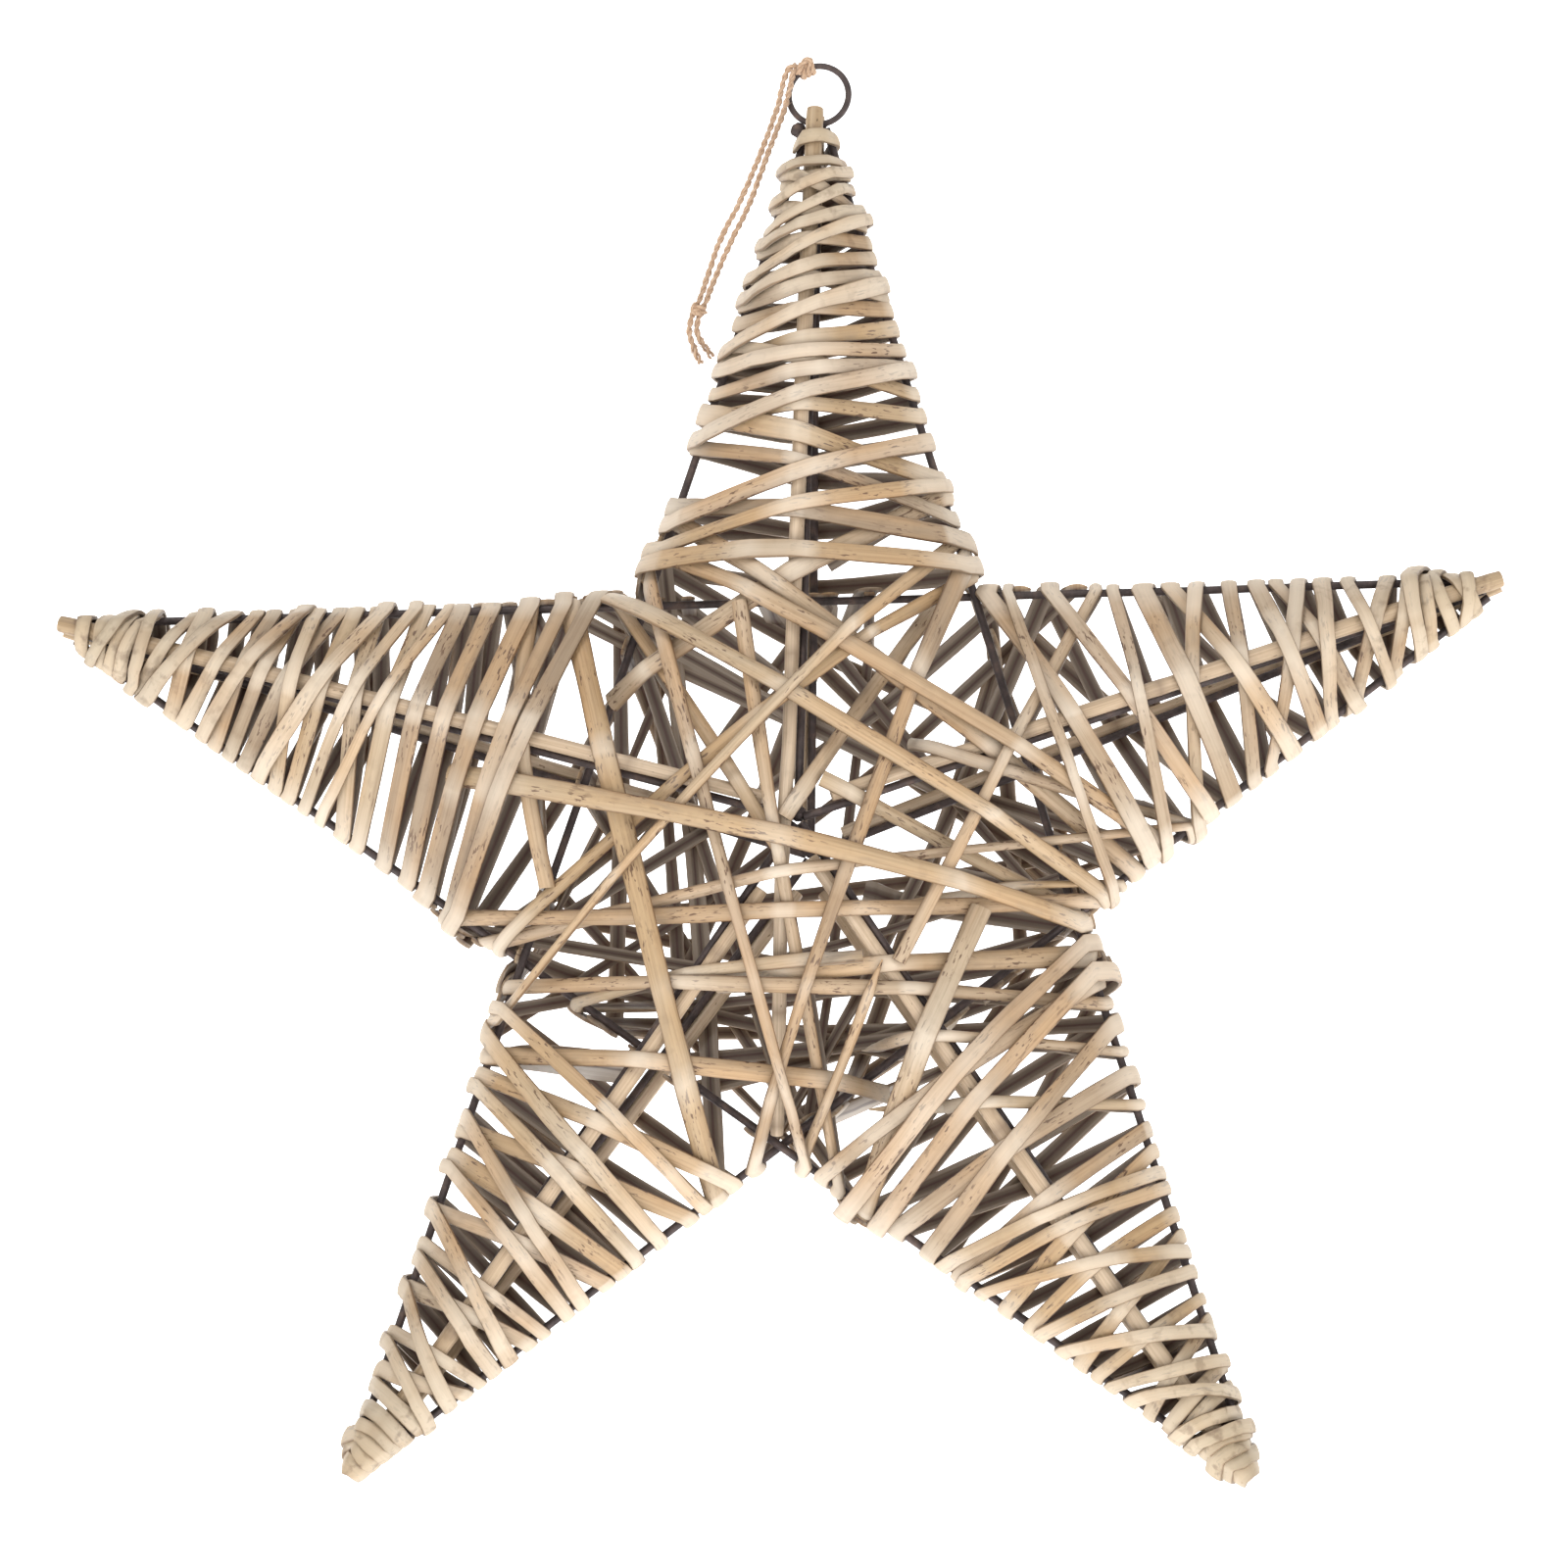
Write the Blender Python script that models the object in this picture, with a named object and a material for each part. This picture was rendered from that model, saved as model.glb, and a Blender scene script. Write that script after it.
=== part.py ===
"""A hanging wicker star: split willow wound round a star of iron wire.

Lengths are in metres, +Z is up and the front of the star faces -Y. The origin is the inner
top of the hanging ring, where a hook carries the star.
"""

import math

import bmesh
import bpy
import numpy as np

FRONT = -1
BACK = 1
CLOCKWISE = 1
COUNTER = -1

# Gap between two pieces that touch
CLEARANCE = 0.0003

# The star: its arms in clockwise order from the top, seen from the front
ARM_NAMES = ("top", "right", "lower_right", "lower_left", "left")
ARM_ANGLES = (1.8, 69.7, 144.6, 215.2, 287.2)
ARM_REACHES = (0.312, 0.312, 0.320, 0.315, 0.321)
PEAK_DEPTH = 0.054
PEAK_RIGHT = 0.004
PEAK_RISE = 0.004

# Iron wire, and how far it stays back from the ends of the sticks
WIRE_RADIUS = 0.0017
WIRE_SHORT = 0.007
PEAK_GAP = 0.0045

# Hanging ring
RING_OUTER_RADIUS = 0.0139
RING_WIRE_RADIUS = 0.00135
RING_STEPS = 22
TIP_ASIDE = -0.0005

# Willow sticks: the thick end is at the tip, and each lies on this side of its ridge wire
STICK_TIP_RADIUS = 0.0037
STICK_INNER_RADIUS = 0.0028
STICK_SIDES = (COUNTER, COUNTER, CLOCKWISE, COUNTER, CLOCKWISE)
STICK_TIP_TURN = 8.0
STICK_INNER_TURN = 70.0
STICK_STOP = 0.016
STICK_POINTS = 4

# The front stick of this arm runs on over the peak, past the one that stops further out
RUN_ON_ARM = 0
CROSSED_ARM = 3
LONGER_STOP = 0.032
RUN_ON_END = (-0.001, 0.004)

# Split willow
SPLIT_WIDTH = 0.0066
SPLIT_THICKNESS = 0.0018
UNDER_START = 0.007
WIND_PITCH = 0.0180
WIND_BASE_MARGIN = 0.019
OVER_START = 0.013
LEAN_RAMP = 0.060
UNDER_LEANS = (0.009, -0.014, -0.026, 0.017, 0.024)
OVER_LEANS = (-0.011, 0.008, 0.006, -0.022, 0.008)

# Each winding of this arm, the longest one, is two strips laid end to end
JOINED_ARM = 4
JOINED_PARTS = ("_tip", "_base")

# Split rods laced across the body, from the first laid to the last. Each has its width as a
# multiple of SPLIT_WIDTH, and the places where its front run starts and ends and its back run
# ends, as shares of the length of outline wires. A rod with a cut end has that place instead,
# right and up from the middle of the body, as shares of the top arm's reach. A third share is
# its height there, for an end with nothing under it.
BODY_RODS = (
    (1.21, ((0, 0.2846),), (-0.2423, 0.1965)),
    (1.09, ((3, 0.7008), (1, 0.3189), (4, 0.3666)), None),
    (0.91, ((2, 0.3330),), (-0.0657, 0.3077)),
    (1.06, ((3, 0.2940),), (0.1234, -0.3269)),
    (0.83, ((2, 0.6356), (1, 0.2709), (3, 0.3248)), None),
    (0.85, ((3, 0.3436), (0, 0.6651), (2, 0.6627)), None),
    (0.83, ((0, 0.3446), (2, 0.6255), (4, 0.6715)), None),
    (0.79, ((4, 0.7263),), (0.1426, -0.1747)),
    (1.06, ((0, 0.3291), (1, 0.6584), (4, 0.6920)), None),
    (0.91, ((3, 0.6564), (2, 0.3618), (4, 0.3871)), None),
    (1.36, ((4, 0.3512), (1, 0.6927), (3, 0.6803)), None),
    (1.03, ((3, 0.6752), (1, 0.2932), (4, 0.3357)), None),
    (1.03, ((4, 0.3734), (1, 0.3463), (3, 0.6564)), None),
    (0.85, ((0, 0.3154), (3, 0.3179), (4, 0.7126)), None),
    (1.27, ((0, 0.6055),), (-0.4519, 0.0888, 0.0800)),
)

# How a strip is worked out: sampling step, shortest span between creases, side margin
SAMPLE_STEP = 0.0004
SHORTEST_SPAN = 0.010
SIDE_MARGIN = 1.12
SAMPLES_ACROSS = 13
CREASE_FACTOR = 1.12
STEEP_FACTOR = 1.10

# Jute string
TWINE_RADIUS = 0.0012
TWINE_STEP = 0.0054
TWINE_LEAD = 0.0026
RING_KNOT_ANGLE = 25.0
RING_KNOT_TURNS = 3
STRAND_TURNS = (40.0, 95.0)
END_KNOT_PLACE = (-0.0502, -0.0024, -0.1033)
END_KNOT_RADIUS = 0.0037
END_KNOT_HALF = 0.0037
END_KNOT_LEAN = 23.5
STRAND_ROUTES = (
    (
        (-0.0142, -0.0026, -0.0040),
        (-0.0157, -0.0031, -0.0105),
        (-0.0175, -0.0031, -0.0180),
        (-0.0244, -0.0030, -0.0370),
        (-0.0330, -0.0028, -0.0573),
        (-0.0413, -0.0026, -0.0738),
        (-0.0468, -0.0025, -0.0900),
    ),
    (
        (-0.0114, -0.0035, -0.0064),
        (-0.0127, -0.0034, -0.0120),
        (-0.0146, -0.0033, -0.0190),
        (-0.0216, -0.0030, -0.0380),
        (-0.0292, -0.0028, -0.0588),
        (-0.0372, -0.0026, -0.0754),
        (-0.0438, -0.0025, -0.0910),
    ),
)
TAIL_ROUTES = (
    ((-0.0541, -0.0022, -0.1128), (-0.0523, -0.0020, -0.1195), (-0.0494, -0.0018, -0.1260)),
    ((-0.0508, -0.0022, -0.1132), (-0.0479, -0.0020, -0.1186), (-0.0446, -0.0018, -0.1236)),
)


def plan_axis(arm):
    """Unit direction from the middle of the star to a tip, as x and z."""
    angle = math.radians(ARM_ANGLES[arm])
    return np.array([math.sin(angle), math.cos(angle)])


def plan_side(arm):
    """Unit direction across an arm, to its clockwise side."""
    angle = math.radians(ARM_ANGLES[arm])
    return np.array([math.cos(angle), -math.sin(angle)])


def unit(vector):
    return vector / np.linalg.norm(vector)


def turn(first, second):
    """Sine of the angle between two plan directions."""
    return first[0] * second[1] - first[1] * second[0]


RING_CENTRE_Z = 2 * RING_WIRE_RADIUS - RING_OUTER_RADIUS
RING_MIDDLE_RADIUS = RING_OUTER_RADIUS - RING_WIRE_RADIUS
RING_BOTTOM_Z = RING_CENTRE_Z - RING_OUTER_RADIUS
TIP_SPREAD = 2 * WIRE_RADIUS + CLEARANCE
TIP_DEPTH = WIRE_RADIUS + CLEARANCE
WEAVE = WIRE_RADIUS + CLEARANCE / 2
TOP_WIRES_Z = RING_BOTTOM_Z - 2 * CLEARANCE
TOP_OFFSET = plan_axis(0) * (ARM_REACHES[0] - WIRE_SHORT)
MIDDLE = np.array([TIP_ASIDE, TOP_WIRES_Z]) - TOP_OFFSET
PEAK = MIDDLE + np.array([PEAK_RIGHT, PEAK_RISE])


def in_space(plan, depth):
    return np.array([plan[0], depth, plan[1]])


def wire_ends(wire):
    """Plan ends of an outline wire, which runs from its own arm to the next arm but one."""
    far = (wire + 2) % 5
    start = MIDDLE + plan_axis(wire) * (ARM_REACHES[wire] - WIRE_SHORT)
    end = MIDDLE + plan_axis(far) * (ARM_REACHES[far] - WIRE_SHORT)
    return start + plan_side(wire) * TIP_SPREAD, end - plan_side(far) * TIP_SPREAD


def crossing(first, second):
    """How far along the first wire the second one crosses it."""
    start, end = wire_ends(first)
    other, other_end = wire_ends(second)
    along, across = unit(end - start), unit(other_end - other)
    return turn(other - start, across) / turn(along, across)


def wire_point(wire, along):
    start, end = wire_ends(wire)
    return start + unit(end - start) * along


def wire_length(wire):
    start, end = wire_ends(wire)
    return np.linalg.norm(end - start)


def edge_wire(arm, side):
    """The outline wire on one side of an arm."""
    return arm if side == CLOCKWISE else (arm + 3) % 5


def edge_along(arm, side, from_tip):
    """Place on that wire, given as a distance from the arm's tip."""
    if side == CLOCKWISE:
        return from_tip
    return wire_length(edge_wire(arm, side)) - from_tip


def corner_from_tip(arm, side):
    """Distance from an arm's tip to the inner corner at the end of one of its edges."""
    wire = edge_wire(arm, side)
    if side == CLOCKWISE:
        return crossing(wire, (wire + 4) % 5)
    return wire_length(wire) - crossing(wire, (wire + 1) % 5)


def material(name, colour, roughness, metallic):
    made = bpy.data.materials.new(name)
    made.use_nodes = True
    shader = made.node_tree.nodes["Principled BSDF"]
    shader.inputs["Base Color"].default_value = (*colour, 1.0)
    shader.inputs["Roughness"].default_value = roughness
    shader.inputs["Metallic"].default_value = metallic
    made.diffuse_color = (*colour, 1.0)
    return made


def link_object(name, data, finish):
    data.materials.append(finish)
    made = bpy.data.objects.new(name, data)
    bpy.context.scene.collection.objects.link(made)
    return made


def round_rod(name, points, radii, resolution, finish):
    """A curve with a round bevel and filled caps through the given points."""
    curve = bpy.data.curves.new(name, "CURVE")
    curve.dimensions = "3D"
    curve.bevel_depth = radii[0]
    curve.bevel_resolution = resolution
    curve.use_fill_caps = True
    spline = curve.splines.new("POLY")
    spline.points.add(len(points) - 1)
    for place, point, radius in zip(spline.points, points, radii):
        place.co = (*point, 1.0)
        place.radius = radius / radii[0]
    spline.use_smooth = True
    return link_object(name, curve, finish)


# Everything laid so far: spans of round rods, and the outer faces of strips
rod_spans = []
strip_faces = {FRONT: [], BACK: []}
wraps = [[] for _ in range(5)]


def note_rod(points, radii):
    for here, there, low, high in zip(points, points[1:], radii, radii[1:]):
        rod_spans.append((here, there, low, high))


def outline_wire(wire, finish):
    """A straight wire from tip to tip, over the first wire that it crosses and under the next."""
    start, end = wire_ends(wire)
    points = [
        in_space(start, 0.0),
        in_space(wire_point(wire, crossing(wire, (wire + 4) % 5)), -WEAVE),
        in_space(wire_point(wire, crossing(wire, (wire + 1) % 5)), WEAVE),
        in_space(end, 0.0),
    ]
    radii = [WIRE_RADIUS] * 4
    note_rod(points, radii)
    names = (ARM_NAMES[wire], ARM_NAMES[(wire + 2) % 5])
    round_rod("outline_wire_%s_to_%s" % names, points, radii, 1, finish)


def ridge_line(arm, face):
    """Start of a ridge wire at its tip, its end at the peak and its plan length."""
    start = MIDDLE + plan_axis(arm) * (ARM_REACHES[arm] - WIRE_SHORT)
    span = PEAK - start
    return in_space(start, face * TIP_DEPTH), in_space(PEAK, face * PEAK_DEPTH), span


def ridge_point(arm, face, from_tip):
    """Point of a ridge wire's axis at a plan distance inward from the stick's end."""
    start, end, span = ridge_line(arm, face)
    share = (from_tip - WIRE_SHORT) / np.linalg.norm(span)
    return start + (end - start) * share


def ridge_wire(arm, face, finish):
    start, end, _ = ridge_line(arm, face)
    points = [start, end - unit(end - start) * PEAK_GAP]
    radii = [WIRE_RADIUS] * 2
    note_rod(points, radii)
    where = "front" if face == FRONT else "back"
    round_rod("%s_ridge_wire_%s" % (where, ARM_NAMES[arm]), points, radii, 1, finish)


def stick_point(arm, face, from_tip):
    """Middle of a willow stick beside its ridge wire, and its radius there."""
    _, _, span = ridge_line(arm, face)
    length = np.linalg.norm(span) + WIRE_SHORT
    share = from_tip / length
    radius = STICK_TIP_RADIUS + (STICK_INNER_RADIUS - STICK_TIP_RADIUS) * share
    angle = math.radians(STICK_TIP_TURN + (STICK_INNER_TURN - STICK_TIP_TURN) * share)
    reach = WIRE_RADIUS + radius + 2 * CLEARANCE
    inward = unit(span)
    across = np.array([-inward[1], inward[0]]) * STICK_SIDES[arm]
    middle = ridge_point(arm, face, from_tip)
    sideways = in_space(across * math.sin(angle), face * math.cos(angle))
    return middle + sideways * reach, radius


def run_on(point, radius):
    """The rest of the stick that runs on over the peak, down to the inner corner below it."""
    start, low = point[[0, 2]], wire_point(1, crossing(1, 2)) + np.array(RUN_ON_END)
    length = np.linalg.norm(low - start)
    across = np.array([start[1] - low[1], low[0] - start[0]]) / length
    steps = np.linspace(0.0, length, int(length / SAMPLE_STEP))
    need = np.full(len(steps), -1.0)
    for share in (-0.8, 0.0, 0.8):
        places = start + np.outer(steps / length, low - start) + across * radius * share
        need = np.maximum(need, top_of_rods(places, FRONT))
    need += radius * STEEP_FACTOR
    held = [(step, height) for step, height in zip(steps, need) if height > radius * STEEP_FACTOR]
    held = [(0.0, -point[1])] + [place for place in held if place[0] > SHORTEST_SPAN]
    taut = few_creases(upper_hull(held))
    ends = [start + (low - start) * step / length for step, _ in taut[1:]]
    return [in_space(place, -height) for place, (_, height) in zip(ends, taut[1:])]


def willow_stick(arm, face, finish):
    """A thin round stick beside the ridge wire. The front one of the top arm runs on past the peak."""
    _, _, span = ridge_line(arm, face)
    runs_on = arm == RUN_ON_ARM and face == FRONT
    stop = LONGER_STOP if face == FRONT and arm in (RUN_ON_ARM, CROSSED_ARM) else STICK_STOP
    last = np.linalg.norm(span) + WIRE_SHORT - stop
    made = [stick_point(arm, face, last * step / (STICK_POINTS - 1)) for step in range(STICK_POINTS)]
    points = [place for place, _ in made]
    radii = [radius for _, radius in made]
    if runs_on:
        more = run_on(points[-1], radii[-1])
        points += more
        radii += [radii[-1]] * len(more)
    note_rod(points, radii)
    where = "front" if face == FRONT else "back"
    round_rod("%s_stick_%s" % (where, ARM_NAMES[arm]), points, radii, 2, finish)


def top_of_rods(places, face):
    """Height of the rods under each plan place, with the gap round them, from the middle plane."""
    best = np.full(len(places), -1.0)
    for here, there, low, high in rod_spans:
        start, end = here[[0, 2]], there[[0, 2]]
        along = end - start
        share = np.clip((places - start) @ along / (along @ along), 0.0, 1.0)
        off = np.linalg.norm(places - (start + share[:, None] * along), axis=1)
        radius = low + (high - low) * share + CLEARANCE
        depth = face * (here[1] + (there[1] - here[1]) * share)
        tilt = np.linalg.norm(there - here) / np.linalg.norm(along)
        rise = np.sqrt(np.maximum(radius**2 - off**2, 0.0)) * tilt
        best = np.where(off < radius, np.maximum(best, depth + rise), best)
    return best


def top_of_strips(places, face):
    """Height of the strips under each plan place, with the gap over them."""
    best = np.full(len(places), -1.0)
    if not strip_faces[face]:
        return best
    corners = np.array(strip_faces[face])
    low, high = places.min(axis=0), places.max(axis=0)
    near = (corners[:, :, :2].max(axis=1) >= low).all(axis=1)
    near &= (corners[:, :, :2].min(axis=1) <= high).all(axis=1)
    for first, second, third in corners[near]:
        base, other = second - first, third - first
        area = turn(base, other)
        if abs(area) < 1e-12:
            continue
        slope_x = (base[2] * other[1] - other[2] * base[1]) / area
        slope_z = (other[2] * base[0] - base[2] * other[0]) / area
        offset = places - first[:2]
        share = (offset[:, 0] * other[1] - offset[:, 1] * other[0]) / area
        rest = (base[0] * offset[:, 1] - base[1] * offset[:, 0]) / area
        inside = (share >= 0) & (rest >= 0) & (share + rest <= 1)
        height = first[2] + share * base[2] + rest * other[2]
        height += CLEARANCE * math.sqrt(1 + slope_x**2 + slope_z**2)
        best = np.where(inside, np.maximum(best, height), best)
    return best


def upper_hull(points):
    """The taut line over a row of points, left to right."""
    hull = []
    for point in points:
        while len(hull) > 1:
            (x0, y0), (x1, y1) = hull[-2], hull[-1]
            if (x1 - x0) * (point[1] - y0) < (y1 - y0) * (point[0] - x0):
                break
            hull.pop()
        hull.append(point)
    return hull


def line_height(first, second, place):
    return first[1] + (second[1] - first[1]) * (place - first[0]) / (second[0] - first[0])


def meet(first, second, third, fourth):
    """Where the line through the first two points meets the line through the last two."""
    slope = (second[1] - first[1]) / (second[0] - first[0])
    other = (fourth[1] - third[1]) / (fourth[0] - third[0])
    place = (third[1] - first[1] + slope * first[0] - other * third[0]) / (slope - other)
    return place, first[1] + slope * (place - first[0])


def few_creases(hull):
    """The same taut line with its short spans closed up from outside."""
    hull = list(hull)
    while len(hull) > 2:
        spans = [hull[i + 1][0] - hull[i][0] for i in range(len(hull) - 1)]
        shortest = min(range(len(spans)), key=spans.__getitem__)
        if spans[shortest] >= SHORTEST_SPAN:
            break
        if shortest == 0:
            raised = line_height(hull[1], hull[2], hull[0][0])
            hull = [(hull[0][0], raised)] + hull[2:]
        elif shortest == len(spans) - 1:
            raised = line_height(hull[-3], hull[-2], hull[-1][0])
            hull = hull[:-2] + [(hull[-1][0], raised)]
        else:
            corner = meet(*hull[shortest - 1 : shortest + 3])
            hull = hull[:shortest] + [corner] + hull[shortest + 2 :]
    return hull


def hold(wire, along, others, width):
    """A place where a strip turns round an outline wire, outside the strips already there.

    The others are the plan points that the strip comes from and goes on to.
    """
    point = wire_point(wire, along)
    start, end = wire_ends(wire)
    direction = unit(end - start)
    runs = [unit(other - point) for other in others]
    base, middle = WIRE_RADIUS, 0.0
    while middle < base + CLEARANCE + SPLIT_THICKNESS / 2:
        middle = base + CLEARANCE + SPLIT_THICKNESS / 2
        low = high = along
        for run in runs:
            sine = abs(turn(run, direction))
            reach = width / 2 / sine + CLEARANCE
            outside = along - middle * (run @ direction) / sine
            low = min(low, along - reach, outside - reach)
            high = max(high, along + reach, outside + reach)
        for other_low, other_high, outer in wraps[wire]:
            if high > other_low and low < other_high:
                base = max(base, outer)
    wraps[wire].append((low, high, middle + SPLIT_THICKNESS / 2))
    lowest = SPLIT_THICKNESS / 2 * CREASE_FACTOR + 2 * CLEARANCE
    return {"point": point, "direction": direction, "middle": middle, "height": lowest}


def free_end(point, height=None):
    """A cut end that lies on whatever is under it, or stands at the given height."""
    return {"point": point, "direction": None, "middle": 0.0, "height": height}


def bows_out(here, there):
    """Whether the fold from here's left to there's right keeps the outer face further out."""
    normal = np.cross(there[1] - here[0], there[0] - here[1])
    outward = here[0] - here[3] + there[0] - there[3]
    return (normal @ (here[0] - here[1])) * (normal @ outward) > 0


def folded(here, there, first, second, bows):
    """Two triangles between one side of two sections."""
    left, right, far_left, far_right = here[first], here[second], there[first], there[second]
    if bows:
        return (left, right, far_right), (left, far_right, far_left)
    return (left, right, far_left), (right, far_right, far_left)


def lay_run(face, start, end, width):
    """Cross sections of one taut run of a strip across the star, over all that lies there.

    Each section is its left outer, right outer, right inner and left inner corner.
    """
    half = width / 2
    half_thick = SPLIT_THICKNESS / 2 * CREASE_FACTOR
    origin = start["point"]
    run = unit(end["point"] - origin)
    length = np.linalg.norm(end["point"] - origin)
    left = np.array([-run[1], run[0]]) * -face

    def slant(place):
        if place["direction"] is None:
            return 0.0, 1.0
        wire = place["direction"]
        return half * (wire @ run) / (wire @ left), abs(turn(run, wire))

    start_slant, start_sine = slant(start)
    end_slant, end_sine = slant(end)
    first = -start["middle"] / start_sine
    last = length + end["middle"] / end_sine
    steps = np.linspace(first, last, int((last - first) / SAMPLE_STEP) + 2)
    slants = start_slant + (end_slant - start_slant) * np.clip(steps / length, 0.0, 1.0)
    across = np.linspace(-SIDE_MARGIN, SIDE_MARGIN, SAMPLES_ACROSS)[:, None]
    forward = (steps + slants * across).reshape(-1, 1)
    sideways = np.broadcast_to(half * across, (SAMPLES_ACROSS, len(steps))).reshape(-1, 1)
    places = origin + forward * run + sideways * left
    tops = np.maximum(top_of_rods(places, face), top_of_strips(places, face))
    need = tops.reshape(SAMPLES_ACROSS, -1).max(axis=0) + half_thick
    held = [(step, height) for step, height in zip(steps, need) if height > half_thick]
    if start["height"] is not None:
        held = [(first, start["height"])] + [point for point in held if point[0] > first]
    if end["height"] is not None:
        held = [point for point in held if point[0] < last] + [(last, end["height"])]
    taut = few_creases(upper_hull(held))
    if start["height"] is None:
        taut[0] = (first, line_height(taut[0], taut[1], first))
    if end["height"] is None:
        taut[-1] = (last, line_height(taut[-2], taut[-1], last))

    def section(step, height, push, rise):
        place = origin + run * step
        slope = start_slant + (end_slant - start_slant) * min(max(step / length, 0.0), 1.0)
        side = half * left + slope * run
        corners = []
        for across, outward in ((1, 1), (-1, 1), (-1, -1), (1, -1)):
            plan = place + side * across + run * push * outward
            corners.append(in_space(plan, face * (height + rise * outward)))
        return corners

    sections = []
    for index, (step, height) in enumerate(taut):
        if index == 0 and start["direction"] is not None:
            push = SPLIT_THICKNESS / 2 / start_sine
            slope = (taut[1][1] - height) / (taut[1][0] - step)
            sections.append(section(step, height, -push, half_thick - slope * push))
        elif index == len(taut) - 1 and end["direction"] is not None:
            push = SPLIT_THICKNESS / 2 / end_sine
            slope = (taut[-2][1] - height) / (step - taut[-2][0])
            sections.append(section(step, height, push, half_thick - slope * push))
        else:
            sections.append(section(step, height, 0.0, half_thick))
    for here, there in zip(sections, sections[1:]):
        for corners in folded(here, there, 0, 1, bows_out(here, there)):
            flat = [(corner[0], corner[2], face * corner[1]) for corner in corners]
            strip_faces[face].append(flat)
    return sections


def strip(name, runs, finish):
    """A closed strip through the cross sections of its runs."""
    sections = [section for run in runs for section in run]
    shape = bmesh.new()
    rows = [[shape.verts.new(corner) for corner in section] for section in sections]
    folds = [bows_out(here, there) for here, there in zip(sections, sections[1:])]
    for here, there, bows in zip(rows, rows[1:], folds):
        for first, second in ((1, 2), (3, 0)):
            shape.faces.new((here[first], here[second], there[second], there[first]))
        for first, second in ((0, 1), (3, 2)):
            for corners in folded(here, there, first, second, bows):
                shape.faces.new(corners)
    shape.faces.new(rows[0][::-1])
    shape.faces.new(rows[-1])
    bmesh.ops.recalc_face_normals(shape, faces=shape.faces)
    mesh = bpy.data.meshes.new(name)
    shape.to_mesh(mesh)
    shape.free()
    return link_object(name, mesh, finish)


def lace(anchors, width):
    """Runs from one outline wire to the next, over the front and the back of the star in turn."""
    points = [wire_point(wire, along) for wire, along in anchors]
    held = []
    for number, (wire, along) in enumerate(anchors):
        others = points[max(number - 1, 0) : number] + points[number + 1 : number + 2]
        held.append(hold(wire, along, others, width))
    runs = []
    for number, (here, there) in enumerate(zip(held, held[1:])):
        runs.append(lay_run(BACK if number % 2 else FRONT, here, there, width))
    return runs


def winding_anchors(arm, lean, first):
    """Where a winding meets the edges of an arm, in even turns from its tip to its base."""
    limit = min(corner_from_tip(arm, side) for side in (CLOCKWISE, COUNTER)) - WIND_BASE_MARGIN
    last = limit - abs(lean)
    turns = max(1, round((last - first) / WIND_PITCH))
    near_side = COUNTER if lean > 0 else CLOCKWISE
    anchors = []
    for number in range(turns + 1):
        from_tip = first + (last - first) * number / turns
        far = from_tip + abs(lean) * min(1.0, from_tip / LEAN_RAMP)
        for side, distance in ((near_side, from_tip), (-near_side, far)):
            anchors.append((edge_wire(arm, side), edge_along(arm, side, distance)))
    return anchors


def winding(name, anchors, parts, finish):
    """A winding round an arm, as strips laid end to end. Each part's name follows the winding's."""
    runs = lace(anchors, SPLIT_WIDTH)
    count = math.ceil(len(runs) / len(parts))
    for number, part in enumerate(parts):
        strip(name + part, runs[number * count : (number + 1) * count], finish)


def body_rod(name, broad, shares, cut_end, finish):
    """A split rod over the front of the body and back behind it, or cut off in the body."""
    width = broad * SPLIT_WIDTH
    anchors = [(wire, share * wire_length(wire)) for wire, share in shares]
    if cut_end is None:
        return strip(name, lace(anchors, width), finish)
    right, up, *height = np.array(cut_end) * ARM_REACHES[0]
    end_point = MIDDLE + np.array([right, up])
    here = hold(*anchors[0], [end_point], width)
    return strip(name, [lay_run(FRONT, here, free_end(end_point, *height), width)], finish)


def hanging_ring(finish):
    """A ring of thinner wire, facing forward."""
    curve = bpy.data.curves.new("hanging_ring", "CURVE")
    curve.dimensions = "3D"
    curve.bevel_depth = RING_WIRE_RADIUS
    curve.bevel_resolution = 2
    spline = curve.splines.new("POLY")
    spline.points.add(RING_STEPS - 1)
    for step, place in enumerate(spline.points):
        angle = 2 * math.pi * step / RING_STEPS
        x = RING_MIDDLE_RADIUS * math.sin(angle)
        z = RING_CENTRE_Z + RING_MIDDLE_RADIUS * math.cos(angle)
        place.co = (x, 0.0, z, 1.0)
    spline.use_cyclic_u = True
    spline.use_smooth = True
    return link_object("hanging_ring", curve, finish)


def lathe(name, profile, sides, middle, axis, closed, finish):
    """A round body turned about an axis from (along, radius) points."""
    axis = unit(np.array(axis))
    first = unit(np.cross(axis, (0.0, 1.0, 0.0)))
    second = np.cross(axis, first)
    shape = bmesh.new()
    rows = []
    for along, radius in profile:
        row = []
        for side in range(sides):
            angle = 2 * math.pi * side / sides
            out = first * math.cos(angle) + second * math.sin(angle)
            row.append(shape.verts.new(middle + axis * along + out * radius))
        rows.append(row)
    pairs = list(zip(rows, rows[1:]))
    if closed:
        pairs.append((rows[-1], rows[0]))
    else:
        shape.faces.new(rows[0])
        shape.faces.new(rows[-1])
    for here, there in pairs:
        for side in range(sides):
            after = (side + 1) % sides
            shape.faces.new((here[side], here[after], there[after], there[side]))
    bmesh.ops.recalc_face_normals(shape, faces=shape.faces)
    mesh = bpy.data.meshes.new(name)
    shape.to_mesh(mesh)
    shape.free()
    mesh.shade_smooth()
    return link_object(name, mesh, finish)


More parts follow.
